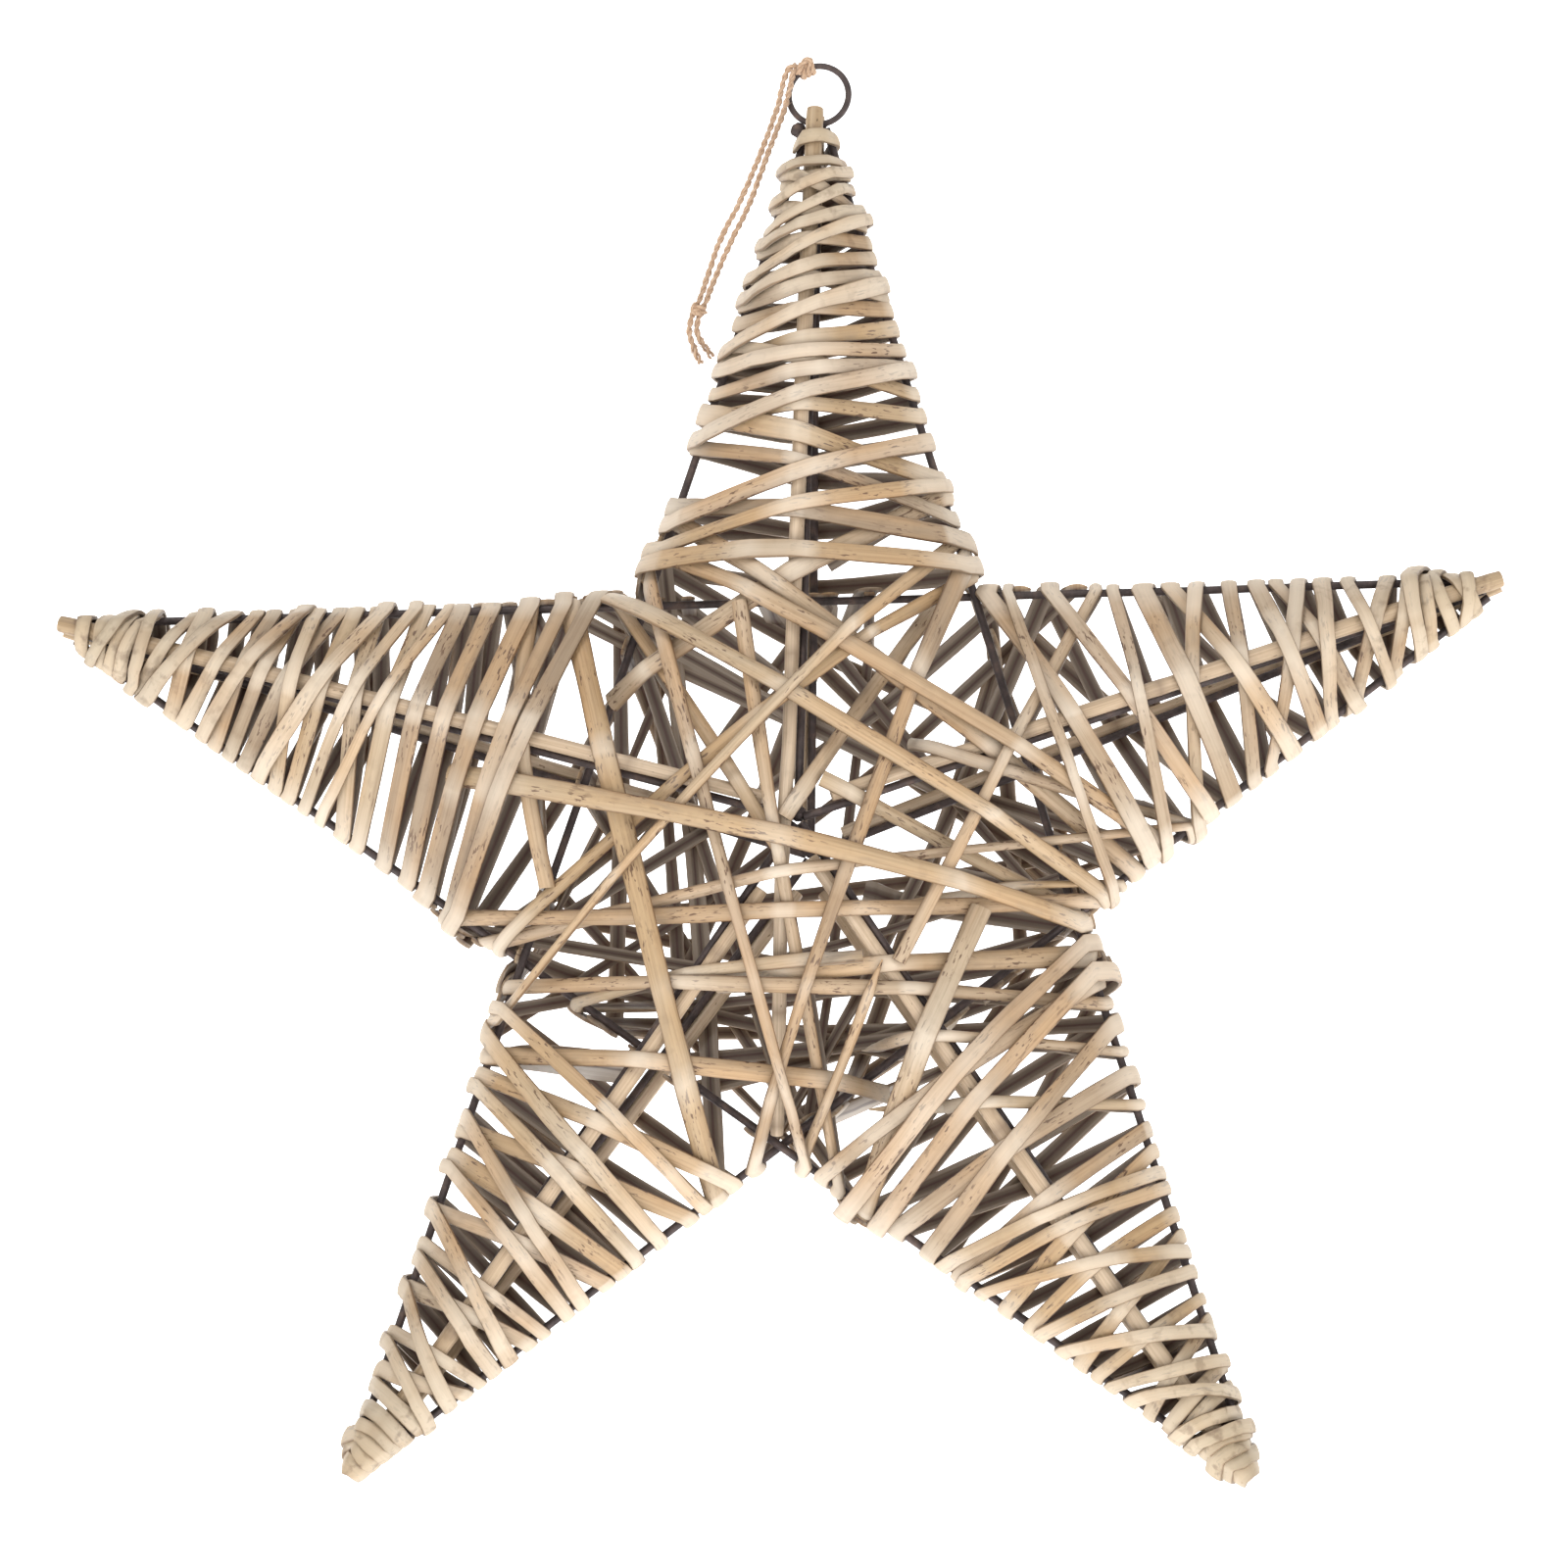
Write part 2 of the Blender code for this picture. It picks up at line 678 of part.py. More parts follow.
def bulges(turns, low, high):
    """Profile of twine turns side by side, between two radii."""
    span = 2 * TWINE_RADIUS
    start = -turns * TWINE_RADIUS
    profile = []
    for number in range(turns):
        profile.append((start + number * span, low))
        profile.append((start + (number + 0.3) * span, high))
        profile.append((start + (number + 0.7) * span, high))
    profile.append((start + turns * span, low))
    return profile


def smooth_route(points):
    """A smooth curve from the second point to the last but one, cut into equal steps."""
    fine = []
    for before, here, there, after in zip(points, points[1:], points[2:], points[3:]):
        for share in np.arange(0.0, 1.0, 0.05):
            bend = 2 * before - 5 * here + 4 * there - after
            twist = 3 * (here - there) + after - before
            fine.append(here + share / 2 * (there - before + share * (bend + share * twist)))
    fine = np.array(fine + [points[-2]])
    run = np.concatenate([[0.0], np.cumsum(np.linalg.norm(np.diff(fine, axis=0), axis=1))])
    places = np.linspace(0.0, run[-1], round(run[-1] / TWINE_STEP) + 1)
    return [np.array([np.interp(place, run, fine[:, axis]) for axis in range(3)]) for place in places]


def twine(name, start, start_way, route, end, end_way, finish):
    """A twine that leaves its start straight, follows the route and comes straight to its end."""
    points = [start, start + start_way * TWINE_LEAD]
    points += [np.array(point) for point in route]
    if end is None:
        points.append(2 * points[-1] - points[-2])
        smooth = [points[0]] + smooth_route(points)
    else:
        points += [end - end_way * TWINE_LEAD, end]
        smooth = [points[0]] + smooth_route(points) + [end]
    return round_rod(name, smooth, [TWINE_RADIUS] * len(smooth), 2, finish)


def jute_string(finish):
    """A doubled string: a knot round the ring, two strands, an overhand knot and two tails."""
    angle = math.radians(RING_KNOT_ANGLE)
    outward = np.array([-math.sin(angle), 0.0, math.cos(angle)])
    axis = np.array([-math.cos(angle), 0.0, -math.sin(angle)])
    middle = np.array([0.0, 0.0, RING_CENTRE_Z]) + outward * RING_MIDDLE_RADIUS
    half = RING_KNOT_TURNS * TWINE_RADIUS
    inside = RING_WIRE_RADIUS + half**2 / (2 * RING_MIDDLE_RADIUS) + CLEARANCE
    outside = inside + 2 * TWINE_RADIUS
    profile = bulges(RING_KNOT_TURNS, outside - TWINE_RADIUS / 3, outside)
    profile += [(half, inside), (-half, inside)]
    lathe("string_ring_knot", profile, 12, middle, axis, True, finish)

    lean = math.radians(END_KNOT_LEAN)
    down = np.array([-math.sin(lean), 0.0, -math.cos(lean)])
    aside = np.array([-math.cos(lean), 0.0, math.sin(lean)]) * (TWINE_RADIUS + CLEARANCE / 2)
    knot = np.array(END_KNOT_PLACE)
    shoulder = 2 * TWINE_RADIUS + CLEARANCE
    profile = [(-END_KNOT_HALF, shoulder)]
    profile += [(-0.65 * END_KNOT_HALF, END_KNOT_RADIUS), (-0.2 * END_KNOT_HALF, END_KNOT_RADIUS)]
    profile += [(0.0, 0.92 * END_KNOT_RADIUS), (0.2 * END_KNOT_HALF, END_KNOT_RADIUS)]
    profile += [(0.65 * END_KNOT_HALF, END_KNOT_RADIUS), (END_KNOT_HALF, shoulder)]
    lathe("string_end_knot", profile, 12, knot, down, False, finish)

    reach = END_KNOT_HALF + CLEARANCE
    for number, (turned, strand, tail) in enumerate(zip(STRAND_TURNS, STRAND_ROUTES, TAIL_ROUTES)):
        around = math.radians(turned)
        off = outward * math.cos(around) + np.array([0.0, FRONT, 0.0]) * math.sin(around)
        start = middle + axis * (half + CLEARANCE) + off * (inside + TWINE_RADIUS)
        side = aside if number == 0 else -aside
        above, below = knot - down * reach + side, knot + down * reach + side
        twine("string_strand_%d" % (number + 1), start, axis, strand, above, down, finish)
        twine("string_tail_%d" % (number + 1), below, down, tail, None, down, finish)


for old in list(bpy.data.objects):
    bpy.data.objects.remove(old)

iron = material("dark_iron", (0.075, 0.058, 0.060), 0.55, 0.6)
willow = material("split_willow", (0.60, 0.45, 0.30), 0.6, 0.0)
stick_wood = material("willow_stick", (0.66, 0.51, 0.35), 0.6, 0.0)
jute = material("jute", (0.62, 0.40, 0.24), 0.9, 0.0)

hanging_ring(iron)
for number in range(5):
    outline_wire(number, iron)
for facing in (FRONT, BACK):
    for number in range(5):
        ridge_wire(number, facing, iron)
for facing in (FRONT, BACK):
    for number in (1, 2, 3, 4, 0):
        willow_stick(number, facing, stick_wood)
for number, rod in enumerate(BODY_RODS):
    body_rod("body_rod_%d" % (number + 1), *rod, willow)
for kind, leans, first_place in (
    ("under", UNDER_LEANS, UNDER_START),
    ("over", OVER_LEANS, OVER_START),
):
    for number, arm_name in enumerate(ARM_NAMES):
        turns = winding_anchors(number, leans[number], first_place)
        parts = JOINED_PARTS if number == JOINED_ARM else ("",)
        winding("%s_winding_%s" % (kind, arm_name), turns, parts, willow)
jute_string(jute)
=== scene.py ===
# %% [markdown]
# # A wicker star, dressed for its picture
#
# The star hangs by a small iron ring. Five straight wires cross as a five-pointed outline, ten more
# rise to a peak in front and behind, and willow is wound round all of it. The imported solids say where
# every wire and rod lies. This lesson keeps those places and gives each piece its real section and
# finish: half-round splits that bend over what lies under them, sticks with knots, rusty wire and
# twisted jute.

# %% The frame
import math

import bpy
import numpy as np
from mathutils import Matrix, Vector


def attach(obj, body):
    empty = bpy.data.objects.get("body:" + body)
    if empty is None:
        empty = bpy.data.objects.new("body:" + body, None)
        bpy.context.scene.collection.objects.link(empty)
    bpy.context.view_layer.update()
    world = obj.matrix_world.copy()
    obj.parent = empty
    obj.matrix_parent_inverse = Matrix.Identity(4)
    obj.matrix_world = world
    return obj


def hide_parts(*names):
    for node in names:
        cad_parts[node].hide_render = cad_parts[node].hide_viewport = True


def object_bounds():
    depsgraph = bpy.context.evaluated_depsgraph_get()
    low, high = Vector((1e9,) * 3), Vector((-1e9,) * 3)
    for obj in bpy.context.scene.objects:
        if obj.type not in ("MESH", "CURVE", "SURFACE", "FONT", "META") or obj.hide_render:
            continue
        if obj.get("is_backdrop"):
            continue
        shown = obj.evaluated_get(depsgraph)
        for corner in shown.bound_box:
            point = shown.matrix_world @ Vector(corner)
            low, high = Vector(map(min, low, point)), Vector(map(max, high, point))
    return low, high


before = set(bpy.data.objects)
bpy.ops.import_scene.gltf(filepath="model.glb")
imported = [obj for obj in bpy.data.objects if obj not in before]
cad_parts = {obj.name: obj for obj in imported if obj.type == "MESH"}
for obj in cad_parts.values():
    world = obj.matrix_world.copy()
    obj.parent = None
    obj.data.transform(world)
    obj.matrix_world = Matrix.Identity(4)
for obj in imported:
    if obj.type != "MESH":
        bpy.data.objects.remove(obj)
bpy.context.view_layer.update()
ground = bpy.context.scene.collection


def put(name, data):
    """An object of this data, in the scene."""
    made = bpy.data.objects.new(name, data)
    ground.objects.link(made)
    return made


# %% [markdown]
# ## The camera
#
# The picture was taken from a little below and a little to the right, from far enough away that the
# arms hardly taper. A long lens at three metres does the same. The sensor's width over the focal
# length is the picture's width over the distance, so the lens follows from how wide the picture is.

# %% The camera
VIEW_TURN = math.radians(3.0)
VIEW_RISE = math.radians(-8.75)
DISTANCE = 3.0
CLIP_END = 20.0
PICTURE_WIDTH = 0.6496
AIM = Vector((-0.0146, 0.0, -0.304))

camera_data = bpy.data.cameras.new("camera")
camera = put("camera", camera_data)
level = math.cos(VIEW_RISE)
away = Vector((math.sin(VIEW_TURN) * level, -math.cos(VIEW_TURN) * level, math.sin(VIEW_RISE)))
camera.location = AIM + away * DISTANCE
camera.rotation_euler = (-away).to_track_quat("-Z", "Y").to_euler()
camera_data.lens = camera_data.sensor_width * DISTANCE / PICTURE_WIDTH
camera_data.clip_end = CLIP_END
bpy.context.scene.camera = camera
print("lens: %.0f mm" % camera_data.lens)

# %% [markdown]
# ## How the star is set out
#
# A wire or a split is placed by how far along an outline wire it lies, so the outline comes first.
# The angles and lengths are those of the solids. Each outline wire runs from the clockwise side of
# one tip to the counter side of the tip after the next, which draws the whole star in five strokes.

# %% Angles and lengths of the outline
FRONT, BACK = -1, 1
ARM_ANGLES = (1.8, 69.7, 144.6, 215.2, 287.2)
ARM_REACHES = (0.312, 0.312, 0.320, 0.315, 0.321)
WIRE_SHORT = 0.007
MIDDLE = np.array([-0.01008, -0.33055])
TIP_SPREAD = 0.0037


def plan_axis(arm):
    """Unit direction from the middle to a tip, as x and z."""
    angle = math.radians(ARM_ANGLES[arm])
    return np.array([math.sin(angle), math.cos(angle)])


def plan_side(arm):
    """Unit direction across an arm, to its clockwise side."""
    angle = math.radians(ARM_ANGLES[arm])
    return np.array([math.cos(angle), -math.sin(angle)])


def unit(vector):
    return vector / np.linalg.norm(vector)


def turn(first, second):
    return first[0] * second[1] - first[1] * second[0]


def tip(arm):
    return MIDDLE + plan_axis(arm) * (ARM_REACHES[arm] - WIRE_SHORT)


def in_space(plan, depth):
    return np.array([plan[0], depth, plan[1]])


def run_along(line):
    """How far along a line each of its points is."""
    return np.concatenate([[0.0], np.cumsum(np.linalg.norm(np.diff(line, axis=0), axis=1))])


def at_places(line, run, places):
    """Points of a line at these places along it."""
    return np.stack([np.interp(places, run, line[:, axis]) for axis in range(3)], axis=1)


print("arms reach:", [round(1000 * reach) for reach in ARM_REACHES], "mm")

# %% [markdown]
# ## The five outline wires
#
# One straight wire goes from the side of each tip to the side of the tip after the next. Everything
# that is wound on the star is placed by a wire's number and the distance along it, since that is what
# it turns round. The wires cross at the five inner corners.

# %% Ends, ways and lengths of the wires
WIRE_ENDS = []
for wire in range(5):
    far = (wire + 2) % 5
    WIRE_ENDS.append(
        (tip(wire) + plan_side(wire) * TIP_SPREAD, tip(far) - plan_side(far) * TIP_SPREAD)
    )
WIRE_WAYS = [unit(end - start) for start, end in WIRE_ENDS]
WIRE_LENGTHS = [np.linalg.norm(end - start) for start, end in WIRE_ENDS]


def crossing(first, second):
    """How far along the first wire the second one crosses it."""
    gap = WIRE_ENDS[second][0] - WIRE_ENDS[first][0]
    return turn(gap, WIRE_WAYS[second]) / turn(WIRE_WAYS[first], WIRE_WAYS[second])


def wire_point(wire, along):
    return WIRE_ENDS[wire][0] + WIRE_WAYS[wire] * along


print("outline wires:", [round(length * 1000) for length in WIRE_LENGTHS], "mm")

# %% [markdown]
# ## Pieces that carry their measures
#
# Each piece is a mesh built point by point. With every point goes what its finish needs to know: how
# far along the piece it is, where it is across or round it, a shade that tells one length of willow
# from the next, how sharply it bends, whether it is on the inner side and how near an edge. Texture
# places could say some of this, but named measures say all of it, and follow every bend.

# %% A mesh that carries its measures
MEASURES = ("along", "across", "shade", "bend", "inner", "edge")
SHARP_ANGLE = math.radians(50)


class Shape:
    """Faces and measures of one piece, gathered before they become a mesh."""

    def __init__(self):
        self.points, self.faces = [], []
        self.measures = {name: [] for name in MEASURES}

    def add(self, points, faces, **measures):
        start = len(self.points)
        self.points.extend(points)
        self.faces.extend([tuple(start + corner for corner in face) for face in faces])
        for name in MEASURES:
            self.measures[name].extend(measures.get(name, np.zeros(len(points))))


def make_piece(name, shape, finish, nodes):
    """A mesh object that rides on the star and stands for these solids."""
    mesh = bpy.data.meshes.new(name)
    mesh.from_pydata([tuple(point) for point in shape.points], [], shape.faces)
    for kind in MEASURES:
        attribute = mesh.attributes.new(kind, "FLOAT", "POINT")
        attribute.data.foreach_set("value", np.array(shape.measures[kind], np.float32))
    mesh.shade_smooth()
    mesh.set_sharp_from_angle(angle=SHARP_ANGLE)
    mesh.materials.append(finish)
    piece = put(name, mesh)
    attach(piece, "root")
    if nodes:
        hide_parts(*nodes)
    return piece


print("measures:", ", ".join(MEASURES))

# %% [markdown]
# ## Tubes
#
# Wire, sticks and twine are all tubes along a line, with a radius at each point. A curve with a bevel
# would draw them too, but a mesh built ring by ring can taper and swell at a knot. The rings are
# carried along the line without a spin, so that the grain runs straight.

# %% Rings along a line
def carried(ways, first):
    """Two directions square to the line at each point, carried along it without a spin."""
    rows = []
    for way in ways:
        first = unit(first - way * (first @ way))
        rows.append((first, np.cross(way, first)))
    return np.moveaxis(np.array(rows), 1, 0)


def ring_faces(rings, sides, closed=False):
    """Four-cornered faces between each ring of points and the next."""
    faces = []
    for ring in range(rings if closed else rings - 1):
        here, there = ring * sides, (ring + 1) % rings * sides
        for side in range(sides):
            after = (side + 1) % sides
            faces.append((here + side, here + after, there + after, there + side))
    return faces


def tube(shape, points, radii, sides=12, shade=0.0, closed=False):
    """Rings round a line of points, joined into a tube with flat ends."""
    points = np.array(points)
    count = len(points)
    if closed:
        ways = np.roll(points, -1, axis=0) - np.roll(points, 1, axis=0)
    else:
        ways = np.gradient(points, axis=0)
    ways /= np.linalg.norm(ways, axis=1)[:, None]
    first = np.cross(ways[0], (0.0, 1.0, 0.0))
    if np.linalg.norm(first) < 0.2:
        first = np.cross(ways[0], (1.0, 0.0, 0.0))
    made = []
    for point, radius, first, second in zip(points, radii, *carried(ways, first)):
        for side in range(sides):
            angle = 2 * math.pi * side / sides
            made.append(point + (first * math.cos(angle) + second * math.sin(angle)) * radius)
    run = np.repeat(run_along(points), sides)
    around = np.tile(np.arange(sides) / sides, count)
    faces = ring_faces(count, sides, closed)
    if not closed:
        faces.append(tuple(range(sides))[::-1])
        faces.append(tuple((count - 1) * sides + side for side in range(sides)))
    shape.add(made, faces, along=run, across=around, shade=np.full(len(made), shade))


# %% [markdown]
# ## What lies under a split
#
# A split is pulled taut, so it touches only the highest things that it passes over, and everything
# laid later passes over it. A physics run could find that, but a map is quicker and gives the same
# answer each time: two grids, one for the front and one for the back, hold the height of the topmost
# thing at every place. Each wire, stick and split raises the map where it lies.

# %% Two maps of heights
CELL = 0.0008
MAP_LOW = np.array([-0.336, -0.612])
MAP_SIZE = 800
BARE = -0.02
heights = {face: np.full((MAP_SIZE, MAP_SIZE), BARE) for face in (FRONT, BACK)}


def cells(places):
    spots = np.rint((places - MAP_LOW) / CELL).astype(int)
    return tuple(np.moveaxis(np.clip(spots, 0, MAP_SIZE - 1), -1, 0))


def raise_map(points):
    """Raise both maps to these points, given as rows of x, y and z."""
    spots = cells(points[:, [0, 2]])
    for face in (FRONT, BACK):
        np.maximum.at(heights[face], spots, face * points[:, 1])


def raise_map_by_tube(points, radii):
    """Raise both maps to a round rod."""
    for here, there, low, high in zip(points, points[1:], radii, radii[1:]):
        way = there - here
        plan = unit(way[[0, 2]])
        steps = int(np.linalg.norm(way) / (CELL / 2)) + 2
        share = np.linspace(0.0, 1.0, steps)[:, None]
        middle = here + share * way
        radius = low + (high - low) * share
        for angle in np.radians(np.linspace(-90.0, 90.0, 15)):
            aside = in_space(np.array([-plan[1], plan[0]]), 0.0) * math.sin(angle)
            for face in (FRONT, BACK):
                lift = np.array([0.0, face * math.cos(angle), 0.0])
                raise_map(middle + radius * (aside + lift))


print("map: %d by %d cells of %.1f mm" % (MAP_SIZE, MAP_SIZE, CELL * 1000))

# %% [markdown]
# ## Nodes for the finishes
#
# A finish is a Principled BSDF with nodes in front of its colour, roughness and normal. Noise is the
# source of nearly everything in it: pictures of willow would be quicker, but noise has no seams and no
# end. These helpers each add one node and join it to the one before.

# %% Nodes for the finishes
def new_finish(name, roughness, metallic=0.0):
    made = bpy.data.materials.new(name)
    made.use_nodes = True
    shader = made.node_tree.nodes["Principled BSDF"]
    shader.inputs["Roughness"].default_value = roughness
    shader.inputs["Metallic"].default_value = metallic
    return made, made.node_tree, shader


def add_node(tree, kind, **values):
    made = tree.nodes.new(kind)
    for name, value in values.items():
        setattr(made, name, value)
    return made


def measure(tree, name):
    return add_node(tree, "ShaderNodeAttribute", attribute_name=name).outputs["Fac"]


def calculate(tree, operation, first, second):
    made = add_node(tree, "ShaderNodeMath", operation=operation)
    for socket, value in zip(made.inputs, (first, second)):
        if isinstance(value, (int, float)):
            socket.default_value = value
        else:
            tree.links.new(value, socket)
    return made.outputs[0]


def grain_place(tree, long_scale, cross_scale, shade_scale=37.0):
    """A place on the strip: along it, across it, and a jump from one strip to the next."""
    joined = add_node(tree, "ShaderNodeCombineXYZ")
    sources = (("along", long_scale), ("across", cross_scale), ("shade", shade_scale))
    for socket, (name, scale) in zip(joined.inputs, sources):
        tree.links.new(calculate(tree, "MULTIPLY", measure(tree, name), scale), socket)
    return joined.outputs[0]


def noise(tree, place, detail=3.0, scale=1.0):
    made = add_node(tree, "ShaderNodeTexNoise")
    made.inputs["Scale"].default_value = scale
    made.inputs["Detail"].default_value = detail
    tree.links.new(place, made.inputs["Vector"])
    return made.outputs["Fac"]


# %% [markdown]
# ## Layers of a finish
#
# All four finishes are layers: a base colour, then one tint or stain after another, each let through
# by a share from 0 to 1. With a helper for each kind of layer, a finish reads as a list of them.

# %% Layers of a finish
def ramp(tree, factor, *stops):
    """Colours at places from 0 to 1."""
    made = add_node(tree, "ShaderNodeValToRGB")
    tree.links.new(factor, made.inputs["Fac"])
    elements = made.color_ramp.elements
    while len(elements) < len(stops):
        elements.new(0.5)
    for element, (place, colour) in zip(elements, stops):
        element.position = place
        element.color = (*colour, 1.0)
    return made.outputs["Color"]


def between(tree, factor, low, high, start=0.0, end=1.0):
    """A grey that goes from start to end while the factor goes from low to high."""
    return ramp(tree, factor, (low, (start,) * 3), (high, (end,) * 3))


def mix(tree, factor, first, second, blend="MIX"):
    made = add_node(tree, "ShaderNodeMix", data_type="RGBA", blend_type=blend)
    for socket, value in ((made.inputs[0], factor), (made.inputs[6], first), (made.inputs[7], second)):
        if isinstance(value, (int, float)):
            socket.default_value = value
        elif isinstance(value, tuple):
            socket.default_value = (*value, 1.0)
        else:
            tree.links.new(value, socket)
    return made.outputs[2]


def tint(tree, base, where, strength, colour):
    """Another colour laid over the base where a factor says so."""
    return mix(tree, calculate(tree, "MULTIPLY", where, strength), base, colour)


def stain(tree, base, colour):
    """The base seen through a colour."""
    return mix(tree, 1.0, base, colour, "MULTIPLY")


def bump(tree, shader, height, distance, strength):
    made = add_node(tree, "ShaderNodeBump")
    made.inputs["Strength"].default_value = strength
    made.inputs["Distance"].default_value = distance
    tree.links.new(height, made.inputs["Height"])
    tree.links.new(made.outputs[0], shader.inputs["Normal"])


# %% [markdown]
# ## Wear towards the tips
#
# In the picture the willow is browner and more spotted towards the tips than in the body. A share that
# grows with the distance from the middle does this for splits and sticks alike, where paint by hand
# would have to be done again for each piece.

# %% Wear by distance from the middle
def weathering(tree):
    """A colour that the willow is seen through, browner and more spotted further out."""
    place = add_node(tree, "ShaderNodeTexCoord").outputs["Object"]
    away = add_node(tree, "ShaderNodeVectorMath", operation="DISTANCE")
    tree.links.new(place, away.inputs[0])
    away.inputs[1].default_value = (MIDDLE[0], 0.0, MIDDLE[1])
    browner = ramp(tree, away.outputs["Value"], (0.20, (1, 1, 1)), (0.31, (0.75, 0.71, 0.62)))
    spots = between(tree, noise(tree, place, 4.0, 170.0), 0.55, 0.68)
    far_out = between(tree, away.outputs["Value"], 0.22, 0.30, 0.12, 0.75)
    return mix(tree, calculate(tree, "MULTIPLY", spots, far_out), browner, (0.40, 0.34, 0.29))


# %% [markdown]
# ## Split willow
#
# Willow is split along its grain, so its streaks run along each strip. Fine noise that is stretched
# along the strip gives the fibres, a slower one gives pale and orange stretches, and small dark flecks
# in groups are the buds that the bark left. The skin is pale where it is kinked, partly cracked skin and
# partly a painted highlight, and painted shade darkens it towards its rims. A strip's inner side is
# painted very dark: partly the grey pith, partly painted shade of the star's inside.

# %% Split willow
def split_willow_finish():
    made, tree, shader = new_finish("Split_willow", 0.5)
    base = ramp(
        tree,
        measure(tree, "shade"),
        (0.0, (0.34, 0.245, 0.160)),
        (0.25, (0.46, 0.330, 0.210)),
        (0.45, (0.52, 0.390, 0.250)),
        (0.65, (0.47, 0.315, 0.165)),
        (0.80, (0.50, 0.365, 0.250)),
        (1.0, (0.56, 0.430, 0.285)),
    )
    slow = noise(tree, grain_place(tree, 11.0, 0.25), 2.0)
    warm = between(tree, slow, 0.46, 0.70)
    base = tint(tree, base, warm, 0.65, (0.56, 0.350, 0.175))
    dull = between(tree, slow, 0.26, 0.46, 1.0, 0.0)
    base = tint(tree, base, dull, 0.55, (0.41, 0.325, 0.225))
    fibres = noise(tree, grain_place(tree, 26.0, 3.6), 4.0)
    fine = ramp(tree, fibres, (0.28, (0.80, 0.76, 0.72)), (0.52, (1, 1, 1)), (0.74, (1.07, 1.07, 1.08)))
    base = stain(tree, base, fine)
    blotch = noise(tree, grain_place(tree, 60.0, 0.7), 3.0)
    soiled = between(tree, blotch, 0.56, 0.74)
    base = tint(tree, base, soiled, 0.45, (0.32, 0.235, 0.155))
    buds = noise(tree, grain_place(tree, 210.0, 3.0), 2.0)
    flecks = between(tree, buds, 0.59, 0.64)
    groups = between(tree, noise(tree, grain_place(tree, 42.0, 0.2), 1.0), 0.46, 0.58)
    flecks = calculate(tree, "MULTIPLY", flecks, groups)
    base = tint(tree, base, flecks, 0.9, (0.13, 0.068, 0.038))
    # Pale where the split kinks: partly cracked skin, partly a painted highlight on the bend.
    base = tint(tree, base, measure(tree, "bend"), 0.6, (0.78, 0.69, 0.57))
    # Painted shade: each split is darker towards both rims and darkest on its sides.
    edge = measure(tree, "edge")
    painted_rim_shade = ramp(tree, edge, (0.2, (1, 1, 1)), (0.85, (0.92, 0.90, 0.88)), (0.99, (0.44, 0.37, 0.31)))
    base = stain(tree, base, painted_rim_shade)
    base = stain(tree, base, weathering(tree))
    # The inner side is painted very dark, darkest down its middle: partly the grey pith, partly painted
    # shade of the star's inside.
    off = calculate(tree, "ABSOLUTE", measure(tree, "across"), 0.0)
    pith_and_inside_shade = ramp(
        tree,
        off,
        (0.06, (0.105, 0.058, 0.045)),
        (0.24, (0.150, 0.110, 0.085)),
        (0.60, (0.200, 0.155, 0.120)),
        (0.88, (0.350, 0.285, 0.225)),
    )
    pith_and_inside_shade = stain(tree, pith_and_inside_shade, fine)
    base = mix(tree, measure(tree, "inner"), base, pith_and_inside_shade)
    tree.links.new(base, shader.inputs["Base Color"])
    worn = between(tree, fibres, 0.3, 0.7, 0.60, 0.46)
    tree.links.new(worn, shader.inputs["Roughness"])
    bump(tree, shader, fibres, 0.00016, 0.5)
    return made


SPLIT_WILLOW = split_willow_finish()
print("finish:", SPLIT_WILLOW.name)

# %% [markdown]
# ## Peeled sticks
#
# A stick is a whole peeled rod, so it has no pith side and no rims. It is paler than the splits, its
# fibres are finer, and the buds are rings of dark skin on small swellings.

# %% Willow sticks
def willow_stick_finish():
    made, tree, shader = new_finish("Willow_stick", 0.5)
    slow = noise(tree, grain_place(tree, 9.0, 1.2), 2.0)
    base = ramp(
        tree, slow, (0.25, (0.48, 0.345, 0.215)), (0.5, (0.60, 0.455, 0.310)), (0.8, (0.68, 0.55, 0.41))
    )
    fibres = noise(tree, grain_place(tree, 30.0, 22.0), 5.0)
    fine = ramp(tree, fibres, (0.3, (0.74, 0.70, 0.66)), (0.65, (1.05, 1.05, 1.05)))
    base = stain(tree, base, fine)
    flecks = between(tree, noise(tree, grain_place(tree, 260.0, 13.0), 1.0), 0.72, 0.77)
    base = tint(tree, base, flecks, 0.75, (0.11, 0.065, 0.035))
    base = tint(tree, base, measure(tree, "bend"), 0.8, (0.21, 0.14, 0.09))
    base = stain(tree, base, weathering(tree))
    tree.links.new(base, shader.inputs["Base Color"])
    bump(tree, shader, fibres, 0.00025, 0.5)
    return made


WILLOW_STICK = willow_stick_finish()
print("finish:", WILLOW_STICK.name)

# %% [markdown]
# ## Iron
#
# The wires are drawn iron with a dull brown-purple skin, and a little rust where the skin is thin. The
# noise is in the object's own space here, since rust takes no notice of which way a wire runs.

# %% Dark iron
def dark_iron_finish():
    made, tree, shader = new_finish("Dark_iron", 0.5, 0.35)
    place = add_node(tree, "ShaderNodeTexCoord").outputs["Object"]
    spots = noise(tree, place, 6.0, 160.0)
    base = ramp(
        tree,
        spots,
        (0.32, (0.042, 0.031, 0.030)),
        (0.55, (0.080, 0.058, 0.054)),
        (0.75, (0.15, 0.098, 0.074)),
    )
    tree.links.new(base, shader.inputs["Base Color"])
    fine = noise(tree, place, 4.0, 900.0)
    worn = between(tree, fine, 0.3, 0.7, 0.38, 0.66)
    tree.links.new(worn, shader.inputs["Roughness"])
    bump(tree, shader, fine, 0.00015, 0.5)
    return made


DARK_IRON = dark_iron_finish()
print("finish:", DARK_IRON.name)

# %% [markdown]
# ## Jute
#
# Jute is hairy and dull, in shades from straw to orange-brown. Each yarn has its own shade, so the
# twist shows, and the stray hairs are thin tubes of their own.

